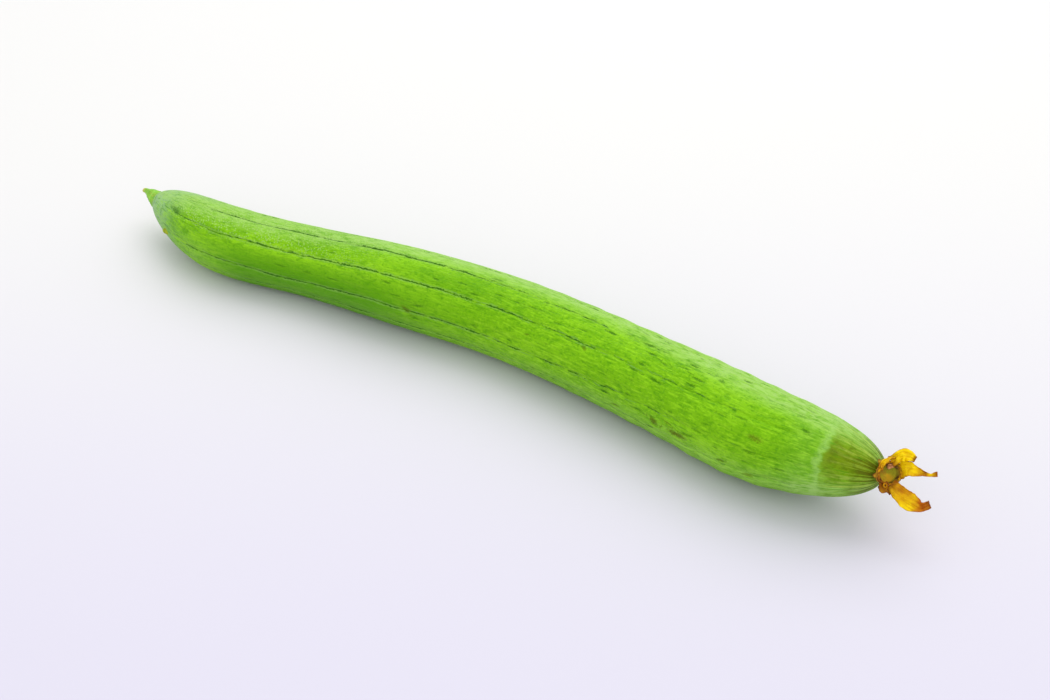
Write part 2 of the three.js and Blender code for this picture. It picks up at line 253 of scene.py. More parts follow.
def lump_shell(centre: np.ndarray, radii: np.ndarray, axes: np.ndarray, roughness: float, seed: int) -> Shell:
    """Small closed lump.

    Args:
        centre: Its middle.
        radii: Its three half sizes.
        axes: Its three axes, as rows.
        roughness: How far its surface strays, as a share of its radii.
        seed: Which lump of its kind it is.

    Returns:
        The shell, without named vectors.
    """
    tilt = np.linspace(0, math.pi, LUMP_RINGS + 2)[1:-1, None]
    turn = np.linspace(0, 2 * math.pi, LUMP_COLUMNS, endpoint=False)[None]
    ball = np.stack([-np.cos(tilt) + 0 * turn, np.sin(tilt) * np.cos(turn), np.sin(tilt) * np.sin(turn)], -1)
    poles = np.array([[-1.0, 0, 0], [1.0, 0, 0]])
    strays = [1 + roughness * grain(part, LUMP_GRAIN, seed) for part in (poles, ball)]
    shape = ring_shell(poles[0] * strays[0][0], ball * strays[1][..., None], poles[1] * strays[0][1])
    shape.points = centre + (shape.points * radii) @ axes
    return shape


def piece_of(
    name: str, shell: Shell, finish: bpy.types.Material, slot: Slot, nodes: Sequence[str] = (),
) -> None:
    """Makes a Blender object of a shell, and lets it ride on the part's one body.

    Args:
        name: The piece's name.
        shell: Its surface, in millimetres.
        finish: Its material.
        slot: The record's slot that the finish stands for. It is not used.
        nodes: The CAD nodes that it replaces.
    """
    mesh = bpy.data.meshes.new(name)
    mesh.from_pydata((shell.points * MM).tolist(), [], shell.faces)
    for key, vectors in shell.values.items():
        layer = mesh.attributes.new(key, "FLOAT_VECTOR", "POINT")
        layer.data.foreach_set("vector", np.ascontiguousarray(vectors, np.float32).ravel())
    mesh.materials.append(finish)
    mesh.shade_smooth()
    mesh.update()
    made = bpy.data.objects.new(name, mesh)
    bpy.context.scene.collection.objects.link(made)
    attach(made, BODY)
    if nodes:
        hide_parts(*nodes)
    log.info("%s: %d faces, finish %s", name, len(shell.faces), finish.name)


# Materials

def linear(colour: str) -> tuple[float, float, float, float]:
    """Turns an sRGB hex value to a linear colour, by the standard's straight foot and power curve.

    Args:
        colour: The value, such as #76b412.

    Returns:
        Red, green, blue and full alpha.
    """
    parts = [int(colour[k:k + 2], 16) / 255 for k in (1, 3, 5)]
    red, green, blue = (c / 12.92 if c <= 0.04045 else ((c + 0.055) / 1.055) ** 2.4 for c in parts)
    return red, green, blue, 1.0


@dataclass
class NodeSheet:
    """The node tree of one material."""

    material: bpy.types.Material

    @classmethod
    def named(cls, name: str) -> "NodeSheet":
        """Makes a material with an empty tree.

        Args:
            name: The material's name.

        Returns:
            The sheet of its tree.
        """
        material = bpy.data.materials.new(name)
        material.use_nodes = True
        material.node_tree.nodes.clear()
        return cls(material)

    def add(
        self, kind: str, *values: Any, named: Sockets | None = None, out: int | str = 0, **settings: Any,
    ) -> Any:
        """Adds a node with its settings and links.

        Args:
            kind: Blender's name of the node's type, without its first word.
            values: What goes into its first sockets, in their order: a socket to link, or a value.
            named: What goes into other sockets, by name or number.
            out: Which output is wanted.
            settings: Its own settings.

        Returns:
            The output socket, or None for a node without outputs.
        """
        made = self.material.node_tree.nodes.new("ShaderNode" + kind)
        for name, value in settings.items():
            setattr(made, name, value)
        for name, value in (*enumerate(values), *(named or {}).items()):
            if isinstance(value, bpy.types.NodeSocket):
                self.material.node_tree.links.new(value, made.inputs[name])
            else:
                made.inputs[name].default_value = value
        return made.outputs[out] if made.outputs else None


# Settings that many nodes share
TIMES = {"operation": "MULTIPLY"}
PLUS = {"operation": "ADD"}
MINUS = {"operation": "SUBTRACT"}
LENGTH = {"operation": "LENGTH"}
WITHIN_ONE = {"operation": "MULTIPLY", "use_clamp": True}
SOFTLY = {"interpolation_type": "SMOOTHSTEP"}
COLOURS = {"data_type": "RGBA"}


@dataclass(frozen=True)
class GourdSkin:
    """Fresh gourd rind, as grown: a taut green skin, slightly waxy, with dark sunken lines.

    It is satin and finely pebbled, with short lengthwise fibres. Its waxy bloom and a painted sheen turn its
    upper side pale, and a painted sheen pales its lower edge. The real pebbles and fibres are about 0.3 mm
    wide and wouldn't show, so they are drawn coarser here.
    """

    green: str = "#70ae06"
    light_green: str = "#8fcc1c"
    deep_green: str = "#4c8e02"
    wax: str = "#9ac468"
    cool_green: str = "#98ba96"
    line_green: str = "#286202"
    olive: str = "#6c8400"
    dark_olive: str = "#566e00"
    straw: str = "#aabc50"
    cork: str = "#5a6c06"
    burnt: str = "#4e3a0a"
    roughness: float = 0.48
    ior: float = 1.4
    patch_mm: float = 34.0
    mottle_mm: float = 3.0
    pebble_mm: float = 1.1
    fibre_mm: float = 0.9
    fibre_stretch: float = 0.16
    wander_mm: float = 15.0
    streak_mm: float = 1.7
    streak_stretch: float = 0.06
    line_half_width_mm: float = 0.29
    dot_mm: float = 1.2
    distortion: float = 0.4

    def inputs(self, add: Adder) -> Sockets:
        """Reads the skin's vectors, and draws its noises.

        The vectors are the straightened place, the same spread to one radius, the distances from line and
        ring with the line's share, the place in the nearest mark, its shares with the flank's, and the tones.

        Args:
            add: Adds a node to the sheet.

        Returns:
            The sockets by name.
        """
        vectors = ("place", "spread", "lines", "mark", "shares", "tones")
        read = {name: add("Attribute", attribute_name=name, out="Vector") for name in vectors}
        parts = {
            "lines": ("from_line", "past_ring", "line_share"),
            "shares": ("green_share", "brown_share", "flank"),
            "tones": ("wax_share", "olive_share", "cool_share"),
        }
        for vector, names in parts.items():
            for k, name in enumerate(names):
                read[name] = add("SeparateXYZ", read[vector], out=k)

        # Noises: the place that each is read at, its size in mm, how it is stretched lengthwise, its detail
        noises = {
            "patches": ("place", self.patch_mm, 0.6, 3),
            "mottle": ("place", self.mottle_mm, 0.6, 4),
            "pebbles": ("place", self.pebble_mm, 0.8, 1),
            "fibres": ("spread", self.fibre_mm, self.fibre_stretch, 3),
            "slow": ("place", self.wander_mm, 0.8, 3),
            "streaks": ("spread", self.streak_mm, self.streak_stretch, 2),
        }
        for name, (where, size, stretch, detail) in noises.items():
            drawn = add("VectorMath", read[where], (stretch / size, 1 / size, 1 / size), **TIMES)
            settings = {"Vector": drawn, "Scale": 1.0, "Detail": float(detail), "Distortion": self.distortion}
            read[name] = add("TexNoise", named=settings)
        return read

    def sunken_lines(self, add: Adder, read: Sockets) -> Sockets:
        """Draws thin wandering lines, broken where their share is small, with a pale painted highlight beside
        them and fine hairs.

        Args:
            add: Adds a node to the sheet.
            read: The inputs by name.

        Returns:
            The shares of line, of its painted highlight and of hairs.
        """
        wander = add("MapRange", read["slow"], 0.3, 0.7, -0.5, 0.5)
        jagged = add("MapRange", read["pebbles"], 0.3, 0.7, -0.28, 0.28)
        moved = add("Math", add("Math", read["from_line"], wander, **PLUS), jagged, **PLUS)
        aside = add("Math", moved, operation="ABSOLUTE")
        width = self.line_half_width_mm
        stroke = add("MapRange", aside, width + 0.14, width - 0.1, 0.0, 1.0, **SOFTLY)
        kept = add("Math", read["fibres"], read["line_share"], **PLUS)
        whole = add("MapRange", kept, 0.98, 1.16, 0.0, 1.0, **SOFTLY)
        beside = add("MapRange", aside, 1.5, 0.5, 0.0, 1.0, **SOFTLY)
        thin = add("MapRange", read["fibres"], 0.55, 0.67, 0.0, 0.85, **SOFTLY)
        by_line = add("MapRange", aside, 4.5, 0.6, 0.3, 1.0, **SOFTLY)
        return {
            "line": add("Math", stroke, whole, **TIMES),
            # Painted highlight: a pale band beside each line, as if its edges caught the light
            "lip": add("Math", add("Math", beside, stroke, **MINUS), whole, **WITHIN_ONE),
            "hairs": add("Math", thin, by_line, **TIMES),
        }

    def dents_and_scabs(self, add: Adder, read: Sockets) -> Sockets:
        """Draws the marks as creases with ragged edges, and a raised edge on their lower side that is painted
        pale as a highlight.

        Args:
            add: Adds a node to the sheet.
            read: The inputs by name.

        Returns:
            The shares of dent, scab and the painted highlight on the dent's edge.
        """
        rough = add("TexNoise", named={"Vector": read["place"], "Scale": 1.1, "Detail": 2.0}, out=1)
        ragged = add("VectorMath", add("VectorMath", rough, (0.5, 0.5, 0.5), **MINUS), (2.6, 1.8, 0), **TIMES)
        shape = add("VectorMath", read["mark"], ragged, **PLUS)
        # Painted highlight: a pale edge on one side of each mark, as if lit
        lower = add("VectorMath", shape, (1.9, 0, 0), **MINUS)
        from_middle, from_lower = (add("VectorMath", v, out=1, **LENGTH) for v in (shape, lower))
        crease = add("MapRange", from_middle, 1.5, 0.35, 0.0, 1.0, **SOFTLY)
        edge = add("MapRange", from_lower, 1.2, 0.4, 0.0, 1.0, **SOFTLY)
        marked = add("Math", read["green_share"], read["brown_share"], operation="MAXIMUM")
        return {
            "dent": add("Math", crease, read["green_share"], **TIMES),
            "scab": add("Math", crease, read["brown_share"], **TIMES),
            "dent_lip": add("Math", edge, marked, **TIMES),
        }

    def stem_half(self, add: Adder, read: Sockets) -> Sockets:
        """Draws pale dots about 1 mm apart above the flank, and a darker green below it, partly painted
        shade.

        Args:
            add: Adds a node to the sheet.
            read: The inputs by name.

        Returns:
            The shares of stipple and of darker green with painted shade.
        """
        dots = add("TexVoronoi", named={"Vector": read["place"], "Scale": 1 / self.dot_mm})
        round_dots = add("MapRange", dots, 0.48, 0.18, 0.0, 1.0, **SOFTLY)
        return {
            "stipple": add("Math", round_dots, add("MapRange", read["flank"]), **TIMES),
            "deep": add("MapRange", read["flank"], 0.0, -1.0),
        }

    def blossom_end(self, add: Adder, read: Sockets) -> Sockets:
        """Draws a soft pale ring, an olive cap beyond it with brown streaks and pale streaks that are partly
        a painted glare, and the patchy waxy bloom with its painted sheen.

        Args:
            add: Adds a node to the sheet.
            read: The inputs by name.

        Returns:
            The shares of ring, cap, mottled cap, burnt streaks, waxy bloom with painted sheen, and pale
            streaks with painted glare.
        """
        mottle, streaks = read["mottle"], read["streaks"]
        past = add("Math", read["past_ring"], add("MapRange", mottle, 0.3, 0.7, -1.3, 1.3), **PLUS)
        before = add("MapRange", past, -3.4, 0.2, 0.0, 1.0, **SOFTLY)
        after = add("MapRange", past, 0.0, 2.2, 1.0, 0.0, **SOFTLY)
        cap = add("Math", add("MapRange", past, 0.0, 3.0, 0.0, 1.0, **SOFTLY), read["olive_share"], **TIMES)
        dark = add("MapRange", mottle, 0.55, 0.35, 0.0, 0.8, **SOFTLY)
        streaked = add("MapRange", streaks, 0.42, 0.58, 0.0, 1.0, **SOFTLY)
        near_pole = add("MapRange", read["past_ring"], 9.0, 23.0, 0.0, 1.0, **SOFTLY)
        clouds = add("MapRange", mottle, 0.35, 0.65, 0.2, 0.9)
        gaps = add("MapRange", read["fibres"], 0.62, 0.35, 0.0, 0.8)
        blotchy = add("Math", clouds, gaps, **PLUS)
        beyond = add("MapRange", past, 0.0, 12.0, 0.1, 1.0, **SOFTLY)
        on_sides = add("Math", beyond, add("MapRange", read["olive_share"], 0.35, 0.9, 0.6, 0.3), **TIMES)
        # Pale streaks on the cap's upper and lower edges, partly a painted glare
        pale = add("Math", add("MapRange", streaks, 0.52, 0.34, 0.0, 1.0, **SOFTLY), on_sides, **TIMES)
        return {
            "ring": add("Math", before, after, **TIMES),
            "cap": cap,
            "mottled_cap": add("Math", cap, dark, **TIMES),
            "burnt": add("Math", streaked, near_pole, **TIMES),
            # Waxy bloom and painted sheen, made patchy
            "wax": add("Math", read["wax_share"], blotchy, **WITHIN_ONE),
            "pale_streaks": add("Math", pale, blotchy, **WITHIN_ONE),
        }

    def colour(self, add: Adder, read: Sockets) -> Any:
        """Lays the skin's coats over its green.

        Args:
            add: Adds a node to the sheet.
            read: The inputs and shares by name.

        Returns:
            The colour's socket.
        """
        # Coats from the lowest up: what drives each, where it starts and is full, its full share, its tint
        coats = (
            # Cooler green at the stem end, partly a painted sheen
            ("cool_share", None, 1.0, self.cool_green),
            ("patches", (0.42, 0.66), 0.5, self.light_green),
            ("patches", (0.46, 0.3), 0.3, self.deep_green),
            ("mottle", (0.5, 0.72), 0.4, self.light_green),
            ("mottle", (0.48, 0.3), 0.5, self.deep_green),
            ("pebbles", (0.45, 0.25), 0.6, self.deep_green),
            ("pebbles", (0.55, 0.75), 0.4, self.light_green),
            ("fibres", (0.47, 0.33), 0.6, self.light_green),
            # Darker green, partly painted shade on the lower flank
            ("deep", None, 1.0, self.deep_green),
            ("cap", None, 1.0, self.olive),
            ("mottled_cap", None, 1.0, self.dark_olive),
            ("hairs", None, 1.0, self.deep_green),
            # Waxy bloom with painted sheen on the upper side and lower edge
            ("wax", None, 1.0, self.wax),
            # Pale streaks, partly painted glare on the cap's edges
            ("pale_streaks", None, 1.0, self.straw),
            ("ring", None, 0.5, self.wax),
            ("stipple", None, 0.8, self.wax),
            # Painted highlight beside the lines
            ("lip", None, 0.35, self.wax),
            # Painted highlight on one edge of each mark
            ("dent_lip", None, 0.4, self.light_green),
            ("line", None, 0.85, self.line_green),
            ("dent", None, 1.0, self.line_green),
            ("scab", None, 1.0, self.cork),
            ("burnt", None, 0.7, self.burnt),
        )
        colour = linear(self.green)
        for name, span, most, tint in coats:
            share = read[name]
            if span:
                share = add("MapRange", share, *span, 0.0, most, **SOFTLY)
            elif most < 1:
                share = add("Math", share, most, **TIMES)
            colour = add("Mix", share, named={6: colour, 7: linear(tint)}, out=2, **COLOURS)
        return colour

    def made(self) -> bpy.types.Material:
        """Builds the material.

        Returns:
            The material, which reads the vectors of the skin's points.
        """
        sheet = NodeSheet.named("gourd_skin")
        add = sheet.add
        read = self.inputs(add)
        for draw in (self.sunken_lines, self.dents_and_scabs, self.stem_half, self.blossom_end):
            read.update(draw(add, read))

        # Relief: how far each thing stands out of the skin, in mm
        relief = {
            "mottle": 0.8, "pebbles": 0.5, "fibres": 0.7, "line": -0.3, "lip": 0.15,
            "dent": -0.4, "scab": 0.2, "dent_lip": 0.25, "stipple": 0.12,
        }
        height = 0.0
        for name, share in relief.items():
            height = add("Math", read[name], share, height, operation="MULTIPLY_ADD")
        glossy, dull = self.roughness - 0.06, self.roughness + 0.08
        shader = add("BsdfPrincipled", named={
            "Base Color": self.colour(add, read),
            "Roughness": add("MapRange", read["mottle"], 0.3, 0.7, glossy, dull),
            "IOR": self.ior,
            "Specular IOR Level": 0.1,
            "Sheen Weight": 0.04,
            "Sheen Roughness": 0.35,
            "Sheen Tint": linear("#dff0b8"),
            "Normal": add("Bump", named={"Height": height, "Strength": 0.8, "Distance": MM}),
        })
        add("OutputMaterial", shader)
        return sheet.material


@dataclass(frozen=True)
class PlantTissue:
    """Plant tissue whose points say how far it has gone from one state to others, from living to dry.

    Living tissue is smooth and yellow or green, and dry tissue is wrinkled and brown. Its grain is drawn
    coarser than the real veins and cells, which wouldn't show.
    """

    name: str
    fresh: str
    second: str
    dry: str
    dark: str
    grain_mm: float
    stretch: tuple[float, float, float]
    roughness: float
    ior: float = 1.45
    see_through: float = 0.0
    bump_mm: float = 0.25

    def made(self) -> bpy.types.Material:
        """Builds the material.

        Returns:
            The material, which reads the vectors place and state of the points. State holds the shares of the
            second, the dry and the dark colour.
        """
        sheet = NodeSheet.named(self.name)
        add = sheet.add
        place = add("Attribute", attribute_name="place", out="Vector")
        state = add("Attribute", attribute_name="state", out="Vector")
        drawn = add("VectorMath", place, self.stretch, **TIMES)
        veins = add("TexNoise", named={"Vector": drawn, "Scale": 1 / self.grain_mm, "Detail": 3.0})
        blots = add("TexNoise", named={"Vector": place, "Scale": 1 / (3 * self.grain_mm), "Detail": 4.0})
        uneven = add("MapRange", blots, 0.3, 0.7, -0.2, 0.2)
        shares = []
        for k in range(3):
            share = add("SeparateXYZ", state, out=k)
            some = add("MapRange", share, 0.0, 0.12)
            shares.append(add("Math", add("Math", share, uneven, **PLUS), some, **WITHIN_ONE))
        coats = (
            (shares[0], self.second),
            (add("MapRange", veins, 0.54, 0.7, 0.0, 0.4), self.fresh),
            (shares[1], self.dry),
            (add("MapRange", veins, 0.48, 0.34, 0.0, 0.35), self.dry),
            (shares[2], self.dark),
        )
        colour = linear(self.fresh)
        for share, tint in coats:
            colour = add("Mix", share, named={6: colour, 7: linear(tint)}, out=2, **COLOURS)
        bump = add("Bump", named={"Height": veins, "Strength": 0.7, "Distance": self.bump_mm * MM})
        shader = add("BsdfPrincipled", named={
            "Base Color": colour,
            "Roughness": self.roughness,
            "IOR": self.ior,
            "Specular IOR Level": 0.15,
            "Normal": bump,
        })
        if self.see_through:
            through = add("BsdfTranslucent", colour)
            shader = add("MixShader", self.see_through, shader, through)
        add("OutputMaterial", shader)
        return sheet.material


class Tissue(Enum):
    """The finishes of stem, scar and flower."""

    # Living stalk: ribbed, satin green, and tan where it was cut and dried
    STALK = PlantTissue("green_stalk", "#88c244", "#68a62e", "#d2ac5c", "#93601f", 0.5, (0.12, 1, 1), 0.5)
    # Cork that closed an old wound: dull, yellow-brown and cracked
    CORK = PlantTissue("wound_cork", "#a6b02c", "#86aa2a", "#b88a20", "#5c4a16", 0.8, (1, 1, 1), 0.85)
    # Calyx, half dried: leathery olive inside, brown and wrinkled on its rim
    CUP = PlantTissue("half_dry_calyx", "#9a9e22", "#dca41c", "#94601e", "#40200a", 0.7, (1, 1, 1), 0.7)
    # Wilted petals: thin, veined, still bright yellow, orange and brown where they dried
    PETAL = PlantTissue("wilted_petal", "#fce004", "#dfa606", "#c0660a", "#542e08", 0.8, (0.13, 1, 1), 0.5,
                        see_through=0.2, bump_mm=0.5)
    # Dried style: soft and pinkish beige, with brown specks
    STYLE = PlantTissue("dried_style", "#d09666", "#b47648", "#845028", "#2a1608", 0.6, (1, 1, 1), 0.8)


# The fruit

@dataclass(frozen=True)
class Mark:
    """Crease or scar of the skin: its place, its size in mm, and its shares of dark green and brown."""

    station: float
    angle: float
    length: float
    width: float
    green: float = 0.7
    brown: float = 0.0
    slant: float = 0.0
    depth: float = 0.2


@dataclass(frozen=True)
class Fruit:
    """The gourd itself, with the same form as the CAD fruit and finer marks.

    Stations are counted in mm along its straight chord, from the stem pole.
    """

    length: float = 450.0
    stem_end: float = 72.5
    blossom_end: float = 92.0
    radii: Numbers = (18, 19, 19, 21, 21.5, 22, 23, 25, 28)
    sway: Numbers = (-12.5, -23, -13.5, -7, 0, -2, -7.5, -14.5, -12.5)
    first_low_point: float = 95.0
    low_point_spacing: float = 130.0
    rise: float = 0.8
    flat_depth: float = 0.5
    lines: Numbers = (5, 43, 86, 117, 152, 203, 238, 271, 303, 334)
    crown: float = 0.35
    line_depth: float = 0.5
    line_half_width: float = 0.8
    rings: int = 470
    columns: Numbers = (0, 0.03, 0.065, 0.105, 0.15, 0.2, 0.26, 0.32, 0.38, 0.44,
                        0.5, 0.56, 0.62, 0.68, 0.74, 0.8, 0.85, 0.895, 0.935, 0.97)
    seen_marks: Sequence[Mark] = (
        Mark(299, 12, 6, 1.3, 0.8), Mark(325, 16, 6, 1.2), Mark(355, 21, 7, 1.2), Mark(354, 31, 5, 1.3),
        Mark(324, 34, 5, 1.3), Mark(271, 31, 6, 1.0, 0.5), Mark(348, 5, 5, 1.2), Mark(366, 9, 4, 2.0, 0.6),
        Mark(376, -9, 5, 1.7, 0.7), Mark(309, 89, 5, 1.3, 0.8), Mark(311, 80, 6, 1.0, 0.5),
        Mark(316, 101, 5, 1.2, 0.4, 0.5, -0.5), Mark(337, 107, 5, 1.1, 0.8, 0.1, -0.6),
        Mark(323, 76, 4, 1.0, 0.6), Mark(329, 89, 7, 1.1, 0.5), Mark(340, 93, 5, 3.6, 0.5, 0.8, 0.6),
        Mark(355, 95, 10, 3.0, 0.5, 0.9, -0.3), Mark(366, 77, 6, 0.9, 0.35),
        Mark(380, 102, 5, 1.8, 0.4, 0.5, -0.5), Mark(393, 110, 6, 1.6, 0.2, 0.6, -0.5),
        Mark(362, 87, 9, 0.9, 0.5), Mark(395, 57, 6, 3.0, 0, 0.7, 0.3), Mark(385, 41, 9, 0.9, 0.5),
        Mark(375, 47, 7, 0.9, 0.4), Mark(335, 45, 8, 1.0, 0.6), Mark(281, 45, 6, 0.9, 0.5),
        Mark(291, 47, 3, 1.8, 0.2, 0.55, 0.8), Mark(182, 84, 5, 3.4, 0.2, 0.6, 0.8),
        Mark(34, 40, 9, 2.8, 0.6, 0, 0.4), Mark(233, 24, 6, 0.8, 0.5), Mark(244, 25, 5, 0.8, 0.5),
        Mark(254, 24, 7, 0.8, 0.5), Mark(285, 26, 6, 0.9, 0.5), Mark(104, 71, 8, 0.8, 0.4),
        Mark(122, 71, 6, 0.8, 0.4), Mark(138, 71, 8, 0.8, 0.45), Mark(176, 68, 7, 0.8, 0.4),
        Mark(109, 45, 4, 1.2, 0.6), Mark(155, 5, 4, 1.6, 0.6), Mark(206, 3, 4, 1.2, 0.7),
        Mark(258, 7, 3, 1.6, 0.6), Mark(294, 63, 4, 0.9, 0.4), Mark(306, 66, 5, 0.8, 0.4),
        Mark(284, 5, 5, 1.2, 0.6), Mark(320, 3, 7, 1.0, 0.6),
    )
    ridges_start: float = 14.0
    ridges_full: float = 50.0
    swelling: float = 0.35
    swelling_lengths: Numbers = (31, 47)
    pleat_depth: float = 0.3
    pleat_length: float = 34.0
    ring_station: float = 423.5
    stray_marks: int = 150
    stray_gap: float = 9.0
    full_radius: float = 22.0
    seed: int = 11

    def spine(self, s: np.ndarray) -> np.ndarray:
        """Follows the spine, which sways sideways and rises a little between the low points.

        Args:
            s: Stations.

        Returns:
            Its points.
        """
        t = s / self.length
        wave = np.sin(math.pi * (s - self.first_low_point) / self.low_point_spacing) ** 2
        height = run_of(self.radii, t) + self.rise * wave - self.flat_depth
        return np.stack([s - self.length / 2, run_of(self.sway, t), height], -1)

    def directions(self, s: np.ndarray) -> tuple[np.ndarray, np.ndarray, np.ndarray]:
        """Finds the axes of the fruit's sections.

        Args:
            s: Stations.

        Returns:
            Unit vectors along the spine, to the near side and to the top.
        """
        ahead = self.spine(np.minimum(s + 1, self.length))
        along = unit(ahead - self.spine(np.maximum(s - 1, 0)))
        near = unit(np.cross(along, UP))
        return along, near, np.cross(near, along)

    def radius(self, s: np.ndarray) -> np.ndarray:
        """Finds the radius of the plain body, whose two ends are rounded off.

        Args:
            s: Stations.

        Returns:
            The radii.
        """
        share = np.ones_like(s)
        for d, end in ((s, self.stem_end), (self.length - s, self.blossom_end)):
            share = share * np.sqrt(np.clip(1 - (1 - np.minimum(d, end) / end) ** 2, 0, 1))
        return run_of(self.radii, s / self.length) * share

    def line_angle(self, line: np.ndarray, s: np.ndarray) -> np.ndarray:
        """Finds where the lines run, which drift a little downwards or upwards on their way.

        Args:
            line: Numbers of lines, which may be counted past a whole turn.
            s: Stations.

        Returns:
            Their angles in degrees.
        """
        rest = np.array(self.lines, float)[line % len(self.lines)]
        drift = 5.5 * bell(s, 108, 32) - 12 * smoothstep(s, 230, 430)
        return rest + 360 * (line // len(self.lines)) + drift * np.sin(np.radians(rest))

    def stations(self) -> np.ndarray:
        """Spaces the rings evenly over the skin from pole to pole.

        Returns:
            Their stations.
        """
        t = np.linspace(0, 1, 8001)
        s = self.length * (t - np.sin(2 * math.pi * t) / (2 * math.pi))
        path = np.concatenate([[0], np.cumsum(np.hypot(np.diff(s), np.diff(self.radius(s))))])
        return np.interp(np.linspace(0, path[-1], self.rings + 2)[1:-1], path, s)

    def all_marks(self) -> list[Mark]:
        """Collects the marks of the near side, and strays all round the fruit, most on its blossom half.

        Returns:
            The marks, no stray one close to another.
        """
        dice = random.Random(self.seed)
        marks = list(self.seen_marks)
        while len(marks) < len(self.seen_marks) + self.stray_marks:
            s = 60 + 355 * dice.random() ** 0.6
            angle = 360 * dice.random()
            length, width = 2.5 + 4.5 * dice.random(), 0.7 + 0.6 * dice.random()
            green, brown = 0.25 + 0.4 * dice.random(), dice.random()
            beside = [m for m in marks if abs(m.station - s) < self.stray_gap]
            if all(abs(signed(m.angle - angle)) >= self.stray_gap for m in beside):
                scab = 0.5 if brown > 0.95 else 0.0
                marks.append(Mark(s, angle, length, width, green, scab, dice.random() - 0.5))
        return marks

    def mark_fields(self, s: np.ndarray, angle: np.ndarray, radius: np.ndarray) -> tuple[np.ndarray, ...]:
        """Lays the marks on every point of the skin.

        Args:
            s: Stations, as a column.
            angle: Angles in degrees, by station and place.
            radius: Radii at the stations, as a column.

        Returns:
            The relief in mm, the place across and along the nearest mark in its half sizes, and that mark's
            green and brown shares.
        """
        far = np.full(angle.shape, 99.0)
        relief = np.zeros(angle.shape)
        place = np.zeros((*angle.shape, 3))
        shares = np.zeros((*angle.shape, 2))
        for mark in self.all_marks():
            rows = np.abs(s[:, 0] - mark.station) < 2.5 * mark.length
            along = s[rows] - mark.station
            aside = np.radians(signed(angle[rows] - mark.angle)) * radius[rows]
            across = aside - mark.slant * along / 3
            u, v = 2 * across / mark.width, 2 * along / mark.length
            this = np.hypot(u, v)
            relief[rows] += mark.depth * (0.6 * np.exp(-((u - 2) ** 2) - v ** 2) - np.exp(-(this ** 2)))
            closer = this < far[rows]
            here = np.stack([u, v + 0 * u, 0 * u], -1)
            share = (1 - smoothstep(this, 2.2, 3.4))[..., None] * (mark.green, mark.brown)
            far[rows] = np.where(closer, this, far[rows])
            place[rows] = np.where(closer[..., None], here, place[rows])
            shares[rows] = np.where(closer[..., None], share, shares[rows])
        return relief, np.clip(place, -6, 6), shares

    def tones(self, s: np.ndarray, angle: np.ndarray) -> np.ndarray:
        """Spreads the tones over the skin.

        Args:
            s: Stations, as a column.
            angle: Angles in degrees, by station and place.

        Returns:
            Shares of waxy bloom with painted sheen, of the cap's olive and of the stem end's cooler green
            with painted sheen, for every point.
        """
        side = signed(angle)
        edge = run_of((36, 26, 22, 4, -1, -1, 4, 11, 8), s / self.length)
        soft = 6 * smoothstep(s, 415, 430)
        # Painted sheen: the upper side is painted paler as if lit from above, over its waxy bloom
        upper = 1 - smoothstep(side, edge - 16 - 2 * soft, edge + 12 + soft)
        strength = run_of((0.4, 0.5, 0.5, 0.6, 0.65, 0.6, 0.6, 0.62, 0.7), s / self.length)
        upper = upper * strength * smoothstep(side, -128, -84)
        # Painted sheen: a pale band along the lower edge of the near side
        lower = bell(side, 114, 20) * (0.1 + 0.2 * smoothstep(s, 190, 330) + 0.25 * smoothstep(s, 400, 425))
        collar = 0.25 * bell(s, 419, 10) * (1 - 0.7 * bell(side, 50, 28))
        wax = np.clip((upper + lower) * (1 - 0.15 * smoothstep(s, 422, 432)) + collar, 0, 0.85)
        olive = 0.35 + 0.6 * bell(side, 44, 30) - 0.15 * (1 - smoothstep(side, -40, 20))
        olive = olive - 0.1 * smoothstep(side, 80, 110)
        # Cooler green at the stem end, partly painted: a painted sheen on the lower rim and a painted glare
        # on the upper side
        cool = 0.85 * (1 - smoothstep(s, 8, 46))
        cool = cool + 0.15 * (1 - smoothstep(s, 40, 110)) * smoothstep(side, 50, 90)
        cool = cool + 0.5 * bell(s, 36, 24) * (1 - smoothstep(side, -30, 5))
        return np.stack(np.broadcast_arrays(wax, olive, cool), -1)

    def flank(self, s: np.ndarray, angle: np.ndarray) -> np.ndarray:
        """Parts the stem half's flank.

        Args:
            s: Stations, as a column.
            angle: Angles in degrees, by station and place.

        Returns:
            The share of pale stipple above the flank, less that of a darker green on its lower side, partly
            painted shade, and of a bare patch.
        """
        side = signed(angle)
        stippled = smoothstep(s, 14, 40) * (1 - smoothstep(s, 130, 230)) * (1 - smoothstep(side, 30, 65))
        # Darker green on the lower flank of the stem half: partly the skin's tone, partly painted shade
        deeper = 0.9 * smoothstep(s, 50, 85) * (1 - smoothstep(s, 150, 240)) * smoothstep(side, 30, 90)
        return stippled - deeper - 0.8 * bell(s, 175, 50) * bell(side, 27, 20)

    def build(self, finish: bpy.types.Material, low: np.ndarray, high: np.ndarray) -> None:
        """Makes the skin with its lines, swellings, pleats and marks.

        Args:
            finish: Its material.
            low: Lowest corner of the CAD box, in mm, which the skin stays in.
            high: Its highest corner.
        """
        s = self.stations()[:, None]
        count = len(self.lines)
        line = np.repeat(np.arange(count), len(self.columns))[None]
        f = np.tile(np.array(self.columns), count)[None]
        start, end = self.line_angle(line, s), self.line_angle(line + 1, s)
        angle = start + (end - start) * f
        radius = self.radius(s)
        ridge = radius * np.radians(end - start)
        turn = 2 * math.pi * (line + f) / count
        station = s + 0 * angle
        cos, sin = np.cos(np.radians(angle)), np.sin(np.radians(angle))
        straight = np.stack([station, radius * cos, radius * sin], -1)
        spread = np.stack([station, self.full_radius * cos, self.full_radius * sin], -1)

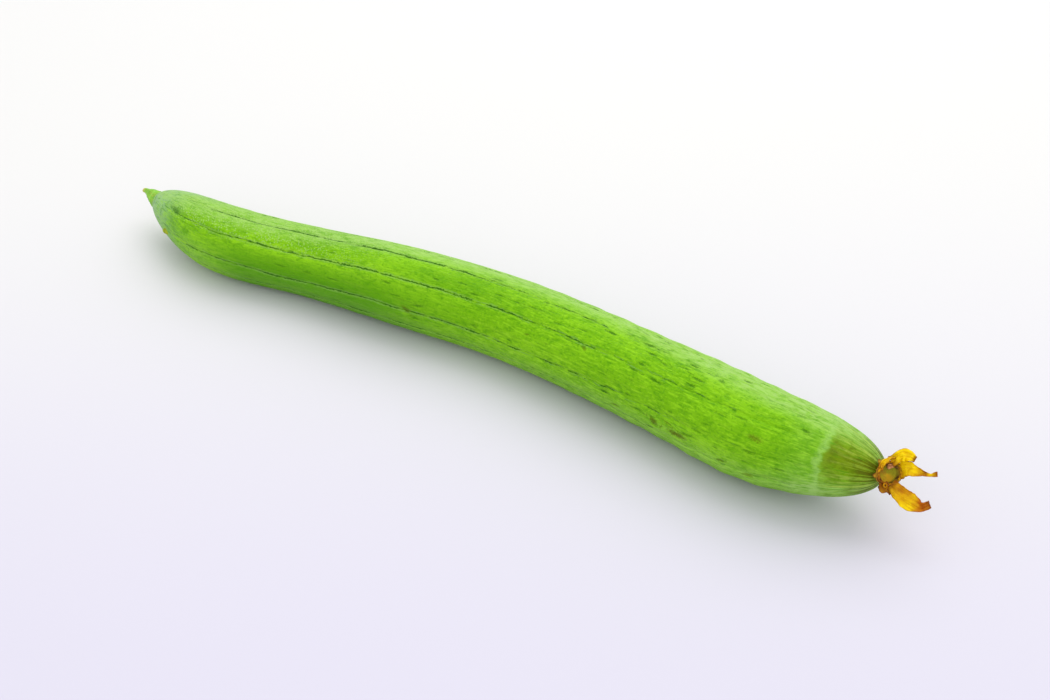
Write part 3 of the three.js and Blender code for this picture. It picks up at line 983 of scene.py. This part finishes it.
        # Relief in mm, where f runs from each line to the next
        fade = smoothstep(np.minimum(s, self.length - s), self.ridges_start, self.ridges_full)
        from_line = np.minimum(f, 1 - f) * ridge
        stretch = 0.75 + 0.5 * grain(straight * (1, 0.6, 0.6), 14, 3)
        groove = self.line_depth * bell(from_line, 0, self.line_half_width) * stretch
        short, long = self.swelling_lengths
        swell = np.sin(2 * math.pi * s / short + 3 * turn) * np.sin(2 * math.pi * s / long - 2 * turn)
        swelling = self.swelling * swell * smoothstep(s, 190, 330)
        pleated = bell(self.length - s, self.pleat_length / 2, self.pleat_length / 3)
        pleats = self.pleat_depth * pleated * (np.cos(4 * math.pi * f) - 1) / 2
        ripples = 0.16 * grain(straight * (0.35, 1, 1), 4.2, 1) + 0.08 * grain(straight * (0.5, 1, 1), 1.9, 2)
        marks, in_mark, shares = self.mark_fields(s, angle, radius)
        ridges = self.crown * (np.sin(math.pi * f) - 1)
        relief = fade * (ridges - groove + swelling + ripples) + pleats + marks

        _, near, top = self.directions(s[:, 0])
        outward = cos[..., None] * top[:, None] + sin[..., None] * near[:, None]
        skin = np.clip(self.spine(s[:, 0])[:, None] + (radius + relief)[..., None] * outward, low, high)
        poles = self.spine(np.array([0.0, self.length]))
        shell = ring_shell(poles[0], skin, poles[1])

        # What the finish reads on each point
        wave = 0.9 * np.sin(np.radians(angle) * 2 + 0.6) + 0.5 * np.sin(np.radians(angle) * 5)
        line_share = run_of((0.3, 0.58, 0.66, 0.68, 0.6, 0.52, 0.46, 0.38, 0.2), s / self.length)
        line_share = line_share * smoothstep(s, 14, 40) * (1 - smoothstep(s, 385, 416)) + 0 * angle
        past_ring = s - self.ring_station - wave
        shell.values = {
            "place": on_rings(straight),
            "spread": on_rings(spread),
            "lines": on_rings(np.stack([from_line * (-1.0) ** line, past_ring, line_share], -1)),
            "mark": on_rings(in_mark),
            "shares": on_rings(np.concatenate([shares, self.flank(s, angle)[..., None]], -1)),
            "tones": on_rings(self.tones(s, angle)),
        }
        piece_of("gourd_skin", shell, finish, Slot.SKIN, ["fruit"])


@dataclass(frozen=True)
class Scar:
    """Low corky scar by the stem end."""

    fruit: Fruit
    station: float = 30.0
    angle: float = 96.0
    length: float = 6.0
    width: float = 3.4
    height: float = 1.4

    def build(self, finish: bpy.types.Material) -> None:
        """Makes the scar as a cracked lump, sunk to its middle in the skin.

        Args:
            finish: Its material.
        """
        s = np.array([self.station])
        along, near, top = (d[0] for d in self.fruit.directions(s))
        turn = math.radians(self.angle)
        outward = math.cos(turn) * top + math.sin(turn) * near
        axes = np.stack([along, np.cross(outward, along), outward])
        centre = self.fruit.spine(s)[0] + outward * (self.fruit.radius(s)[0] - self.height / 4)
        sizes = np.array([self.length / 2, self.width / 2, self.height])
        shell = lump_shell(centre, sizes, axes, 0.22, 4)
        dry = 0.7 * grain(shell.points, 1.6, 5) - 0.1
        state = np.stack([0.6 + 0 * dry, dry, np.clip(grain(shell.points, 1.1, 6), 0, 1)], -1)
        shell.values = {"place": shell.points, "state": state}
        piece_of("stem_end_scar", shell, finish, Slot.SKIN)


# The stem

@dataclass(frozen=True)
class Stem:
    """Hooked stub of the fruit stalk: ribbed, tapered and cut. Its path goes out of the pole and up."""

    fruit: Fruit
    path: Sequence[Numbers] = ((-3, 0), (0, 0), (3, 0.6), (5.8, 1.2), (9.6, 1.6), (12.2, 1.0))
    radii: Numbers = (5.3, 4.8, 4.3, 3.8, 2.35, 1.5, 1.2)
    ribs: int = 5
    rings: int = 70
    columns: int = 60

    def build(self, finish: bpy.types.Material) -> None:
        """Makes the stub with ribs that die out towards its dry tip.

        Args:
            finish: Its material.
        """
        pole = self.fruit.spine(np.array([0.0]))[0]
        along, near, top = (d[0] for d in self.fruit.directions(np.array([0.0])))
        t = np.linspace(0, 1, self.rings)
        out, rise = (run_of([p[k] for p in self.path], t) for k in (0, 1))
        middle = pole - out[:, None] * along + rise[:, None] * top
        turn = -np.linspace(0, 2 * math.pi, self.columns, endpoint=False)[None]
        cos, sin = np.cos(turn), np.sin(turn)
        radius = run_of(self.radii, t)[:, None]
        ribbed = 0.22 * (np.cos(self.ribs * turn) - 1) + 0.06 * np.cos(17 * turn)
        round_three = np.stack(np.broadcast_arrays(out[:, None] * 0.3, 3 * cos, 3 * sin), -1)
        rough = 0.12 * grain(round_three, 1.3, 7)
        flare = 0.5 * bell(out[:, None], 0.3, 1.0)
        size = radius + (ribbed + rough) * np.minimum(1, 2.4 * (1 - t))[:, None] + flare
        size = size * np.sqrt(np.clip((1 - t)[:, None] * 26, 0, 1))
        round_it = cos[..., None] * top + sin[..., None] * near
        rings = middle[:, None] + size[..., None] * round_it
        shell = ring_shell(middle[0], rings[:-1], middle[-1])
        place = np.stack([out[:, None] + 0 * turn, radius * cos, radius * sin], -1)[:-1]
        tip = smoothstep(out, 8.6, 11.8)[:, None]
        foot = bell(out, 0.6, 1.1)[:, None]
        ridge = 0.35 + 0.35 * np.cos(self.ribs * turn)
        second = (1 - foot) * (1 - tip) * (1 - ridge)
        dark = 0.5 * smoothstep(out, 11.2, 12)[:, None]
        state = np.stack(np.broadcast_arrays(second, 0.75 * tip, dark), -1)[:-1]
        shell.values = {"place": on_rings(place), "state": on_rings(state)}
        piece_of("stem_stub", shell, finish, Slot.STALK, ["stem"])


# The flower

@dataclass(frozen=True)
class Cup:
    """Where the flower's cup is, which way it faces, and its form, with angle and size of each sepal."""

    fruit: Fruit
    shift: Numbers = (0, -1.2, 2.1)
    facing: Numbers = (0.72, -0.36, 0.59)
    squash: float = 0.82
    height: float = 3.7
    rim_radius: float = 6.8
    sepals: Sequence[Numbers] = ((58, 1), (130, 1), (215, 0.8), (278, 0.45), (345, 0.8))
    sepal_width: float = 3.6

    def axes(self) -> tuple[np.ndarray, np.ndarray, np.ndarray]:
        """Finds the cup's axes.

        Returns:
            Unit vectors out of the cup, towards its upper side, and to the right of both.
        """
        out = unit(np.array(self.facing))
        top = unit(UP - out * (UP @ out))
        return out, top, np.cross(top, out)

    def point(self, clock: Any, radius: Any, height: Any) -> np.ndarray:
        """Finds points in the cup.

        Args:
            clock: Angles in degrees from its upper side.
            radius: Distances from its axis, before it is squashed.
            height: Heights over its foot.

        Returns:
            The points.
        """
        foot = self.fruit.spine(np.array([self.fruit.length]))[0] + np.array(self.shift)
        turn = np.radians(clock)
        shares = height, self.squash * radius * np.cos(turn), radius * np.sin(turn)
        return foot + sum(np.asarray(share)[..., None] * axis for share, axis in zip(shares, self.axes()))

    def rim_middle(self) -> np.ndarray:
        """Middle of the rim, from which the petals' points are counted."""
        return self.point(0.0, 0.0, self.height)

    def build(self, finish: bpy.types.Material) -> None:
        """Makes the cup with its lumpy brown rim, its flat olive floor and its dried sepals.

        Args:
            finish: Its material.
        """
        # From the foot up the outside, over the rim, and in to the middle of the floor
        radii = (0.4, 3.4, 4.8, 5.3, 5.4, 5.3, 5.8, 6.5, 6.9, 6.6, 6.0, 5.5, 5.0, 4.5, 3.4, 1.8, 0.5)
        heights = (-4, -4, -2.4, -0.8, 0.6, 1.4, 2.2, 2.9, 3.4, 3.8, 3.8, 3.2, 2.4, 2.0, 1.85, 1.8, 1.8)
        t = np.linspace(0, 1, 66)[:, None]
        turn = -np.linspace(0, 360, 120, endpoint=False)[None]
        radius, height = run_of(radii, t), run_of(heights, t)
        on_rim = bell(t, 0.57, 0.13)
        outside = 1 - smoothstep(t, 0.5, 0.6)
        cos, sin = np.cos(np.radians(turn)), np.sin(np.radians(turn))
        circle = np.stack([4 * cos, 4 * sin, 0 * turn], -1)
        lumps = grain(circle + t[..., None] * 3, 1.5, 8)
        creases = np.cos(np.radians(turn * 20)) * 0.14 * outside * smoothstep(t, 0.1, 0.3)
        wrinkles = 0.12 * grain(circle + t[..., None] * 9, 0.8, 9) * outside
        radius = radius + 0.55 * on_rim * lumps + creases + wrinkles
        height = height + 0.6 * on_rim * grain(circle + t[..., None] * 2, 2.1, 10) * smoothstep(t, 0.2, 0.5)
        rings = self.point(turn, radius, height)
        shell = ring_shell(rings[0].mean(0), rings, rings[-1].mean(0))
        low = bell(signed(turn + 175), 0, 50) + 0.4 * bell(signed(turn + 90), 0, 60)
        back = bell(signed(turn + 40), 0, 45)
        inside = smoothstep(t, 0.68, 0.8)
        second = 0.65 * outside + inside * 0.75 * low
        dry = 0.95 * on_rim + 0.4 * outside * smoothstep(t, 0.55, 0.1) + 0.6 * inside * back
        dark = on_rim * (0.5 * lumps + 0.15) + (0.45 + 0.5 * lumps) * bell(t, 0.71, 0.05)
        state = np.clip(np.stack(np.broadcast_arrays(second, dry, dark), -1), 0, 1)
        place = np.stack([height + 0 * turn, radius * cos, radius * sin], -1)
        shell.values = {"place": on_rings(place), "state": on_rings(state)}
        sepals = [self.sepal(clock, size, k) for k, (clock, size) in enumerate(self.sepals)]
        piece_of("calyx_cup", shell.joined(sepals), finish, Slot.CUP, ["calyx"])

    def sepal(self, clock: float, size: float, seed: int) -> Shell:
        """Builds one dried sepal, folded back a little from the rim.

        Args:
            clock: The angle of its foot.
            size: Its length as a share of a whole sepal's.
            seed: Which sepal it is.

        Returns:
            Its shell.
        """
        steps = ((0, -1.2, -1.3), (2, 0.5, -1.3), (5, 1.6, -2.1), (8, 2.2, -3.3))
        rim, foot = self.rim_radius - 1.2, self.height - 1.3
        path = [self.point(clock + a, rim + (b + 1.2) * size, foot + (c + 1.3) * size) for a, b, c in steps]
        out = self.axes()[0]
        width = self.sepal_width * math.sqrt(size)
        look = Look((0.9, 0.8, 0.5, 0.4), (0.5, 0.35, 0.5, 0.9), (0.1, 0.0, 0.1, 0.7), edge_dry=0.5)
        form = Form((0.85 * width, width, 0.75 * width, 0.2 * width), 0.25, 0.35, 0.3)
        return Blade(path, (out, out), form, look, thickness=0.4, rows=22, columns=13, seed=40 + seed).shell()


@dataclass(frozen=True)
class Form:
    """Form of a blade: widths along it, depth of its trough, and how its edges and its face are crumpled."""

    widths: Numbers
    trough: float
    ruffle: float = 0.35
    crumple: float = 0.4


@dataclass(frozen=True)
class Look:
    """Shares of the second, the dry and the dark colour along a blade, and how they change across it."""

    second: Numbers
    dry: Numbers
    dark: Numbers
    edge_dry: float = 0.45
    shade: float = 0.0


@dataclass(frozen=True)
class Blade:
    """Thin crumpled blade along a path, as a petal or a sepal. Its veins are drawn coarser than real ones."""

    path: Sequence[np.ndarray]
    facing: Sequence[np.ndarray]
    form: Form
    look: Look
    thickness: float
    rows: int
    columns: int
    seed: int
    folds: float = 2.5

    def shell(self) -> Shell:
        """Builds the blade's closed surface.

        Returns:
            Its shell, with its place and state.
        """
        form, look = self.form, self.look
        # t runs along the blade, and v across it
        t = np.linspace(0, 1, self.rows)
        v = np.linspace(-1, 1, self.columns)[None]
        middle = np.stack([run_of([p[k] for p in self.path], t) for k in range(3)], -1)
        along = unit(np.gradient(middle, axis=0))
        start, end = (unit(np.array(d, float)) for d in self.facing)
        outward = start + (end - start) * t[:, None]
        outward = unit(outward - along * (outward * along).sum(1)[:, None])
        across = np.cross(along, outward)
        half = (run_of(form.widths, t) / 2)[:, None]
        length = np.linalg.norm(np.diff(middle, axis=0), axis=1).sum()
        flat = np.stack([t[:, None] * length + 0 * v, v * half, 0 * v * half], -1)
        torn = 1 + 0.13 * grain(flat * (1, 0, 0) + np.sign(v)[..., None] * 9, 1.7, self.seed)
        reach = v * half * (1 + (torn - 1) * np.abs(v) ** 3)
        waves = np.sin(2 * math.pi * (self.folds * t[:, None] + 0.2 * v) + self.seed)
        veins = 0.28 * np.cos(3.2 * math.pi * v + self.seed) * smoothstep(t, 0.05, 0.35)[:, None]
        dents = grain(flat, 2.1, self.seed + 0.5) + 0.4 * grain(flat, 0.9, self.seed)
        lift = form.trough * v ** 2 * half + form.ruffle * waves * np.abs(v) ** 2.2 * np.sign(v)
        lift = lift + form.crumple * (veins + dents)
        grid = middle[:, None] + reach[..., None] * across[:, None] + lift[..., None] * outward[:, None]
        edge = smoothstep(np.abs(v), 0.72, 1.0) + smoothstep(t, 0.93, 1)[:, None]
        state = np.stack([
            run_of(look.second, t)[:, None] + look.shade * v,
            run_of(look.dry, t)[:, None] + look.edge_dry * edge + 0.5 * look.shade * v,
            run_of(look.dark, t)[:, None] + 0.45 * look.edge_dry * smoothstep(edge, 0.6, 1),
        ], -1)
        shell = sheet_shell(grid, self.thickness * (1 - 0.35 * np.abs(v) ** 4) * np.ones_like(half))
        values = {"place": flat + self.seed, "state": np.clip(state, 0, 1)}
        shell.values = {name: np.tile(value.reshape(-1, 3), (2, 1)) for name, value in values.items()}
        return shell


@dataclass(frozen=True)
class Petal:
    """One withered petal: its foot on the ring, its way from the rim's middle, its form and its look.

    The points and facings are forward, towards the near side and up.
    """

    root: float
    points: Sequence[Numbers]
    facing: Sequence[Numbers]
    form: Form
    look: Look


@dataclass(frozen=True)
class Corolla:
    """The withered flower: five petals grown together in a ring at their feet."""

    cup: Cup
    ring_radius: float = 6.2
    ring_thickness: float = 1.2
    gap: float = 0.3
    petal_thickness: float = 0.35
    petals: Sequence[Petal] = (
        Petal(
            22, ((1.5, -5, 6.7), (4.0, -6, 8.5), (6.9, -6.7, 8.1), (8.9, -7.2, 7.2)),
            ((0.2, 0.5, 0.8), (0.5, 0.6, 0.6)), Form((5.6, 5.0, 6.0, 4.4, 2.6), 0.12, 0.7, 0.8),
            Look((0.6, 0.15, 0, 0.1, 0.7), (0.4, 0, 0, 0, 0.8), (0.2, 0, 0, 0, 0.6), 0.3, 0.15),
        ),
        Petal(
            94, ((7.2, -4.3, 2.7), (11.1, -4.2, 3.1), (15, -4.2, 3.6), (18.2, -4.4, 4.3), (20.8, -5.6, 5)),
            ((0.3, 0.7, 0.6), (0.2, 0.5, 0.9)), Form((8.6, 7.2, 4.8, 2.4, 1.4, 2.6), 0.2, crumple=0.6),
            Look(
                (0.3, 0.3, 0.3, 0.8, 0.3, 0.7), (0.1, 0, 0.1, 0.5, 0.1, 0.9), (0.1, 0, 0, 0.2, 0, 0.3),
                0.35, 0.2,
            ),
        ),
        Petal(
            190, ((5.6, 4, -4), (9.8, 4.3, -6.1), (14.2, 4.2, -7.9), (18.9, 3.7, -8.6), (22.2, 2.2, -6.2)),
            ((0.1, 0.8, 0.6), (-0.1, 0.6, 0.8)), Form((5.5, 6.4, 7.8, 8.2, 4.6, 3.6), 0.25, 0.7, 0.7),
            Look(
                (1, 0.9, 0.75, 0.4, 0.8, 1), (0.5, 0.25, 0.2, 0.1, 0.9, 1), (0.4, 0.15, 0, 0, 0.05, 0.35),
                0.3, -0.35,
            ),
        ),
        Petal(
            238, ((1.1, 6.7, -3.5), (2.6, 6.6, -4.9), (4.2, 5.9, -6.0)),
            ((0.9, 0.4, 0.6), (-0.6, 0.9, -0.6)), Form((4.4, 4.8, 3.6, 1.8), 0.3),
            Look((0.9, 1, 1, 1), (0.8, 0.6, 0.7, 0.9), (0.6, 0.5, 0.5, 0.7)),
        ),
        Petal(
            312, ((-3.1, 1.2, 4.8), (-1.8, -1.5, 6.2), (0.4, -4.0, 6.6)),
            ((0.9, 0.4, 0.6), (-0.9, 0.3, 0.9)), Form((2.4, 2.6, 2.4, 1.6), 0.3, crumple=0.7),
            Look((0.9, 0.6, 0.4, 0.6), (0.6, 0.3, 0.2, 0.4), (0.3, 0.1, 0, 0.3)),
        ),
    )

    def build(self, finish: bpy.types.Material) -> None:
        """Makes the ring and its petals as one bloom.

        Args:
            finish: Its material.
        """
        turn = np.radians(np.linspace(0, 360, 14, endpoint=False))[:, None]
        clock = np.linspace(0, 360, 96, endpoint=False)[None]
        half = self.ring_thickness / 2
        circle = np.stack([np.cos(np.radians(clock)), np.sin(np.radians(clock)), 0 * clock], -1) * 5
        lumpy = 1 + 0.3 * grain(circle + 0 * turn[..., None], 1.4, 21)
        radius = self.ring_radius + half * lumpy * np.cos(turn)
        height = self.cup.height + self.gap + half + half * lumpy * np.sin(turn)
        ring = torus_shell(self.cup.point(clock, radius, height))
        old = (bell(signed(clock - 235), 0, 95) + 0 * turn).ravel()
        specks = (bell(clock, 40, 8) + bell(clock, 62, 6) + 0 * turn).ravel()
        uneven = grain(ring.points, 1.3, 22)
        dark = 0.75 * old + uneven + specks - 0.1
        state = np.stack([0.5 + 0.5 * old, 0.2 + 0.6 * old + 0.5 * uneven, dark], -1)
        ring.values = {"place": ring.points, "state": np.clip(state, 0, 1)}
        shells = [self.blade(petal, k).shell() for k, petal in enumerate(self.petals)]
        piece_of("withered_corolla", ring.joined([*shells, *self.knot()]), finish, Slot.PETAL, ["corolla"])

    def knot(self) -> list[Shell]:
        """Builds the foot of a lost filament, on the lower left of the ring.

        Returns:
            Shells of a small pale tube and of a dark lump, painted shade in its opening.
        """
        centre = self.cup.point(224.0, self.ring_radius + 1.0, self.cup.height + 2.0)
        out, top, side = self.cup.axes()
        section = np.linspace(0, 2 * math.pi, 10, endpoint=False)[:, None]
        turn = np.linspace(0, 2 * math.pi, 30, endpoint=False)[None]
        radius = 0.8 + 0.34 * np.cos(section)
        points = centre + (0.5 * np.sin(section) + 0 * turn)[..., None] * out
        points = points + (radius * np.cos(turn))[..., None] * top + (radius * np.sin(turn))[..., None] * side
        tube = torus_shell(points)
        # Painted shade: a dark lump inside the tube stands in for the shade of its opening
        hole = lump_shell(centre - 0.2 * out, np.array([0.3, 0.8, 0.8]), np.stack([out, top, side]), 0.2, 61)
        for shell, state in ((tube, (0.8, 0.5, 0.15)), (hole, (1, 1, 1))):
            states = np.tile(np.array(state, float), (len(shell.points), 1))
            shell.values = {"place": shell.points, "state": states}
        return [tube, hole]

    def blade(self, petal: Petal, seed: int) -> Blade:
        """Finds the blade of one petal.

        Args:
            petal: The petal.
            seed: Which petal it is.

        Returns:
            Its blade.
        """
        height = self.cup.height + self.gap + self.ring_thickness / 2
        foot = self.cup.point(petal.root, self.ring_radius, height)
        middle = self.cup.rim_middle()
        turned = [np.array([ahead, -near, up], float) for ahead, near, up in (*petal.points, *petal.facing)]
        path = [foot, *(middle + p for p in turned[:-2])]
        sizes = {"thickness": self.petal_thickness, "rows": 64, "columns": 27}
        return Blade(path, turned[-2:], petal.form, petal.look, seed=3 * seed + 1, **sizes)


@dataclass(frozen=True)
class Style:
    """Dried style in the cup, with three stigma lobes and the remains of the stamens round it."""

    cup: Cup
    foot: float = 2.1
    aside: float = 2.7
    to_right: float = 1.8

    def build(self, finish: bpy.types.Material) -> None:
        """Makes the column, its lobes and the dark specks as one piece.

        Args:
            finish: Its material.
        """
        axes = np.stack(self.cup.axes())
        shift = self.aside * axes[1] + self.to_right * axes[2]
        heights = (0, 0.1, 1.0, 1.6, 1.8)
        radii = (1.0, 1.2, 1.0, 0.9, 0.3)
        t = np.linspace(0, 1, 24)[:, None]
        turn = -np.linspace(0, 360, 32, endpoint=False)[None]
        rings = self.cup.point(turn, run_of(radii, t), self.foot + run_of(heights, t)) + shift
        shells = [ring_shell(rings[0].mean(0), rings, rings[-1].mean(0))]
        tones = [0.5]
        for k, clock in enumerate((0, 120, 240)):
            place = self.cup.point(float(clock), 0.9, self.foot + 1.5) + shift
            shells.append(lump_shell(place, np.array([0.8, 0.75, 1.05]), axes, 0.3, 30 + k))
            tones.append(0.15)
        dice = random.Random(5)
        for k in range(11):
            clock = -38 + 11 * k + 5 * dice.random()
            away = 4.9 + 0.5 * dice.random()
            place = self.cup.point(clock, away, self.foot + 0.7)
            size = 0.4 + 0.4 * dice.random()
            shells.append(lump_shell(place, np.array([1.5, 1, 1]) * size, axes, 0.4, 50 + k))
            tones.append(1.0)
        for shell, tone in zip(shells, tones):
            uneven = grain(shell.points, 1.2, 33)
            state = np.stack([0.4 + uneven, 0.35 * tone + 0.5 * uneven, 1.5 * tone - 0.7 + 0.3 * uneven], -1)
            shell.values = {"place": shell.points, "state": np.clip(state, 0, 1)}
        piece_of("dried_style", shells[0].joined(shells[1:]), finish, Slot.STYLE, ["style"])


# The studio

@dataclass(frozen=True)
class Studio:
    """Pale table, soft light and a camera at the photograph's angle. Places and sizes are in metres."""

    azimuth: float = 34.54
    elevation: float = 36.0
    distance: float = 1.0217
    target: Numbers = (0.02932, -0.0182, 0.0215)
    lens: float = 70.0
    floor_size: float = 6.0

    def camera(self) -> None:
        """Sets the scene's camera."""
        a, e = math.radians(self.azimuth), math.radians(self.elevation)
        back = Vector((math.sin(a) * math.cos(e), -math.cos(a) * math.cos(e), math.sin(e)))
        data = bpy.data.cameras.new("camera")
        data.lens = self.lens
        data.clip_start, data.clip_end = 0.01, 30
        made = bpy.data.objects.new("camera", data)
        made.location = Vector(self.target) + back * self.distance
        made.rotation_mode = "QUATERNION"
        made.rotation_quaternion = (-back).to_track_quat("-Z", "Y")
        bpy.context.scene.collection.objects.link(made)
        bpy.context.scene.camera = made

    def floor(self) -> None:
        """Makes the table under the gourd, of white matt laminate, a little bluer and darker towards the
        front, where the darkening is painted falloff of the light.
        """
        sheet = NodeSheet.named("white_table")
        add = sheet.add
        place = add("NewGeometry", out="Position")
        towards = add("VectorMath", place, (0.56, -0.83, 0), operation="DOT_PRODUCT", out=1)
        grainy = add("TexNoise", named={"Vector": place, "Scale": 1.2, "Detail": 2.0})
        near = add("Math", towards, add("MapRange", grainy, 0.3, 0.7, -0.05, 0.05), **PLUS)
        # Painted falloff of the light: darker and bluer towards the front
        share = add("MapRange", near, -0.25, 0.35, 0.0, 1.0, **SOFTLY)
        colour = add("Mix", share, named={6: linear("#d6d6d8"), 7: linear("#cbc8da")}, out=2, **COLOURS)
        matt = {"Base Color": colour, "Roughness": 0.6, "Specular IOR Level": 0.2}
        add("OutputMaterial", add("BsdfPrincipled", named=matt))
        half = self.floor_size / 2
        mesh = bpy.data.meshes.new("table")
        corners = [(-half, -half, 0), (half, -half, 0), (half, half, 0), (-half, half, 0)]
        mesh.from_pydata(corners, [], [(0, 1, 2, 3)])
        mesh.materials.append(sheet.material)
        table = bpy.data.objects.new("table", mesh)
        bpy.context.scene.collection.objects.link(table)
        table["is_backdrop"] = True

    def light(self, name: str, place: Numbers, aim: Numbers, size: float, watts: float, tint: str) -> None:
        """Adds one soft light.

        Args:
            name: Its name.
            place: Where it is.
            aim: What it faces.
            size: Its side, in metres.
            watts: Its power.
            tint: Its colour.
        """
        data = bpy.data.lights.new(name, "AREA")
        data.size, data.energy, data.color = size, watts, linear(tint)[:3]
        made = bpy.data.objects.new(name, data)
        made.location = place
        made.rotation_mode = "QUATERNION"
        made.rotation_quaternion = (Vector(aim) - Vector(place)).to_track_quat("-Z", "Y")
        bpy.context.scene.collection.objects.link(made)

    def lights(self) -> None:
        """Sets the pale surroundings and the lamps."""
        scene = bpy.context.scene
        scene.view_settings.view_transform = "Standard"
        world = bpy.data.worlds.new("studio")
        world.use_nodes = True
        sky = world.node_tree.nodes["Background"].inputs
        sky["Color"].default_value = linear("#fffffc")
        sky["Strength"].default_value = 1.05
        scene.world = world
        self.light("softbox_above", (-0.3, 0.75, 1.3), (0, 0.1, 0), 1.6, 12, "#fffdf8")
        self.light("fill_in_front", (0.9, -1.3, 1.0), (0, 0, 0), 1.4, 4, "#fbfcff")

    def build(self) -> None:
        """Sets the camera, the table and the lights."""
        self.camera()
        self.floor()
        self.lights()


def main() -> None:
    """Builds the pieces in order."""
    logging.basicConfig(level=logging.INFO, format="%(name)s: %(message)s")
    cad_box = [list(corner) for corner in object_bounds()]
    Studio().build()
    fruit = Fruit()
    cup = Cup(fruit)
    fruit.build(GourdSkin().made(), *(np.array(corner) / MM for corner in cad_box))
    Scar(fruit).build(Tissue.CORK.value.made())
    Stem(fruit).build(Tissue.STALK.value.made())
    cup.build(Tissue.CUP.value.made())
    Corolla(cup).build(Tissue.PETAL.value.made())
    Style(cup).build(Tissue.STYLE.value.made())


if __name__ == "__main__":
    main()
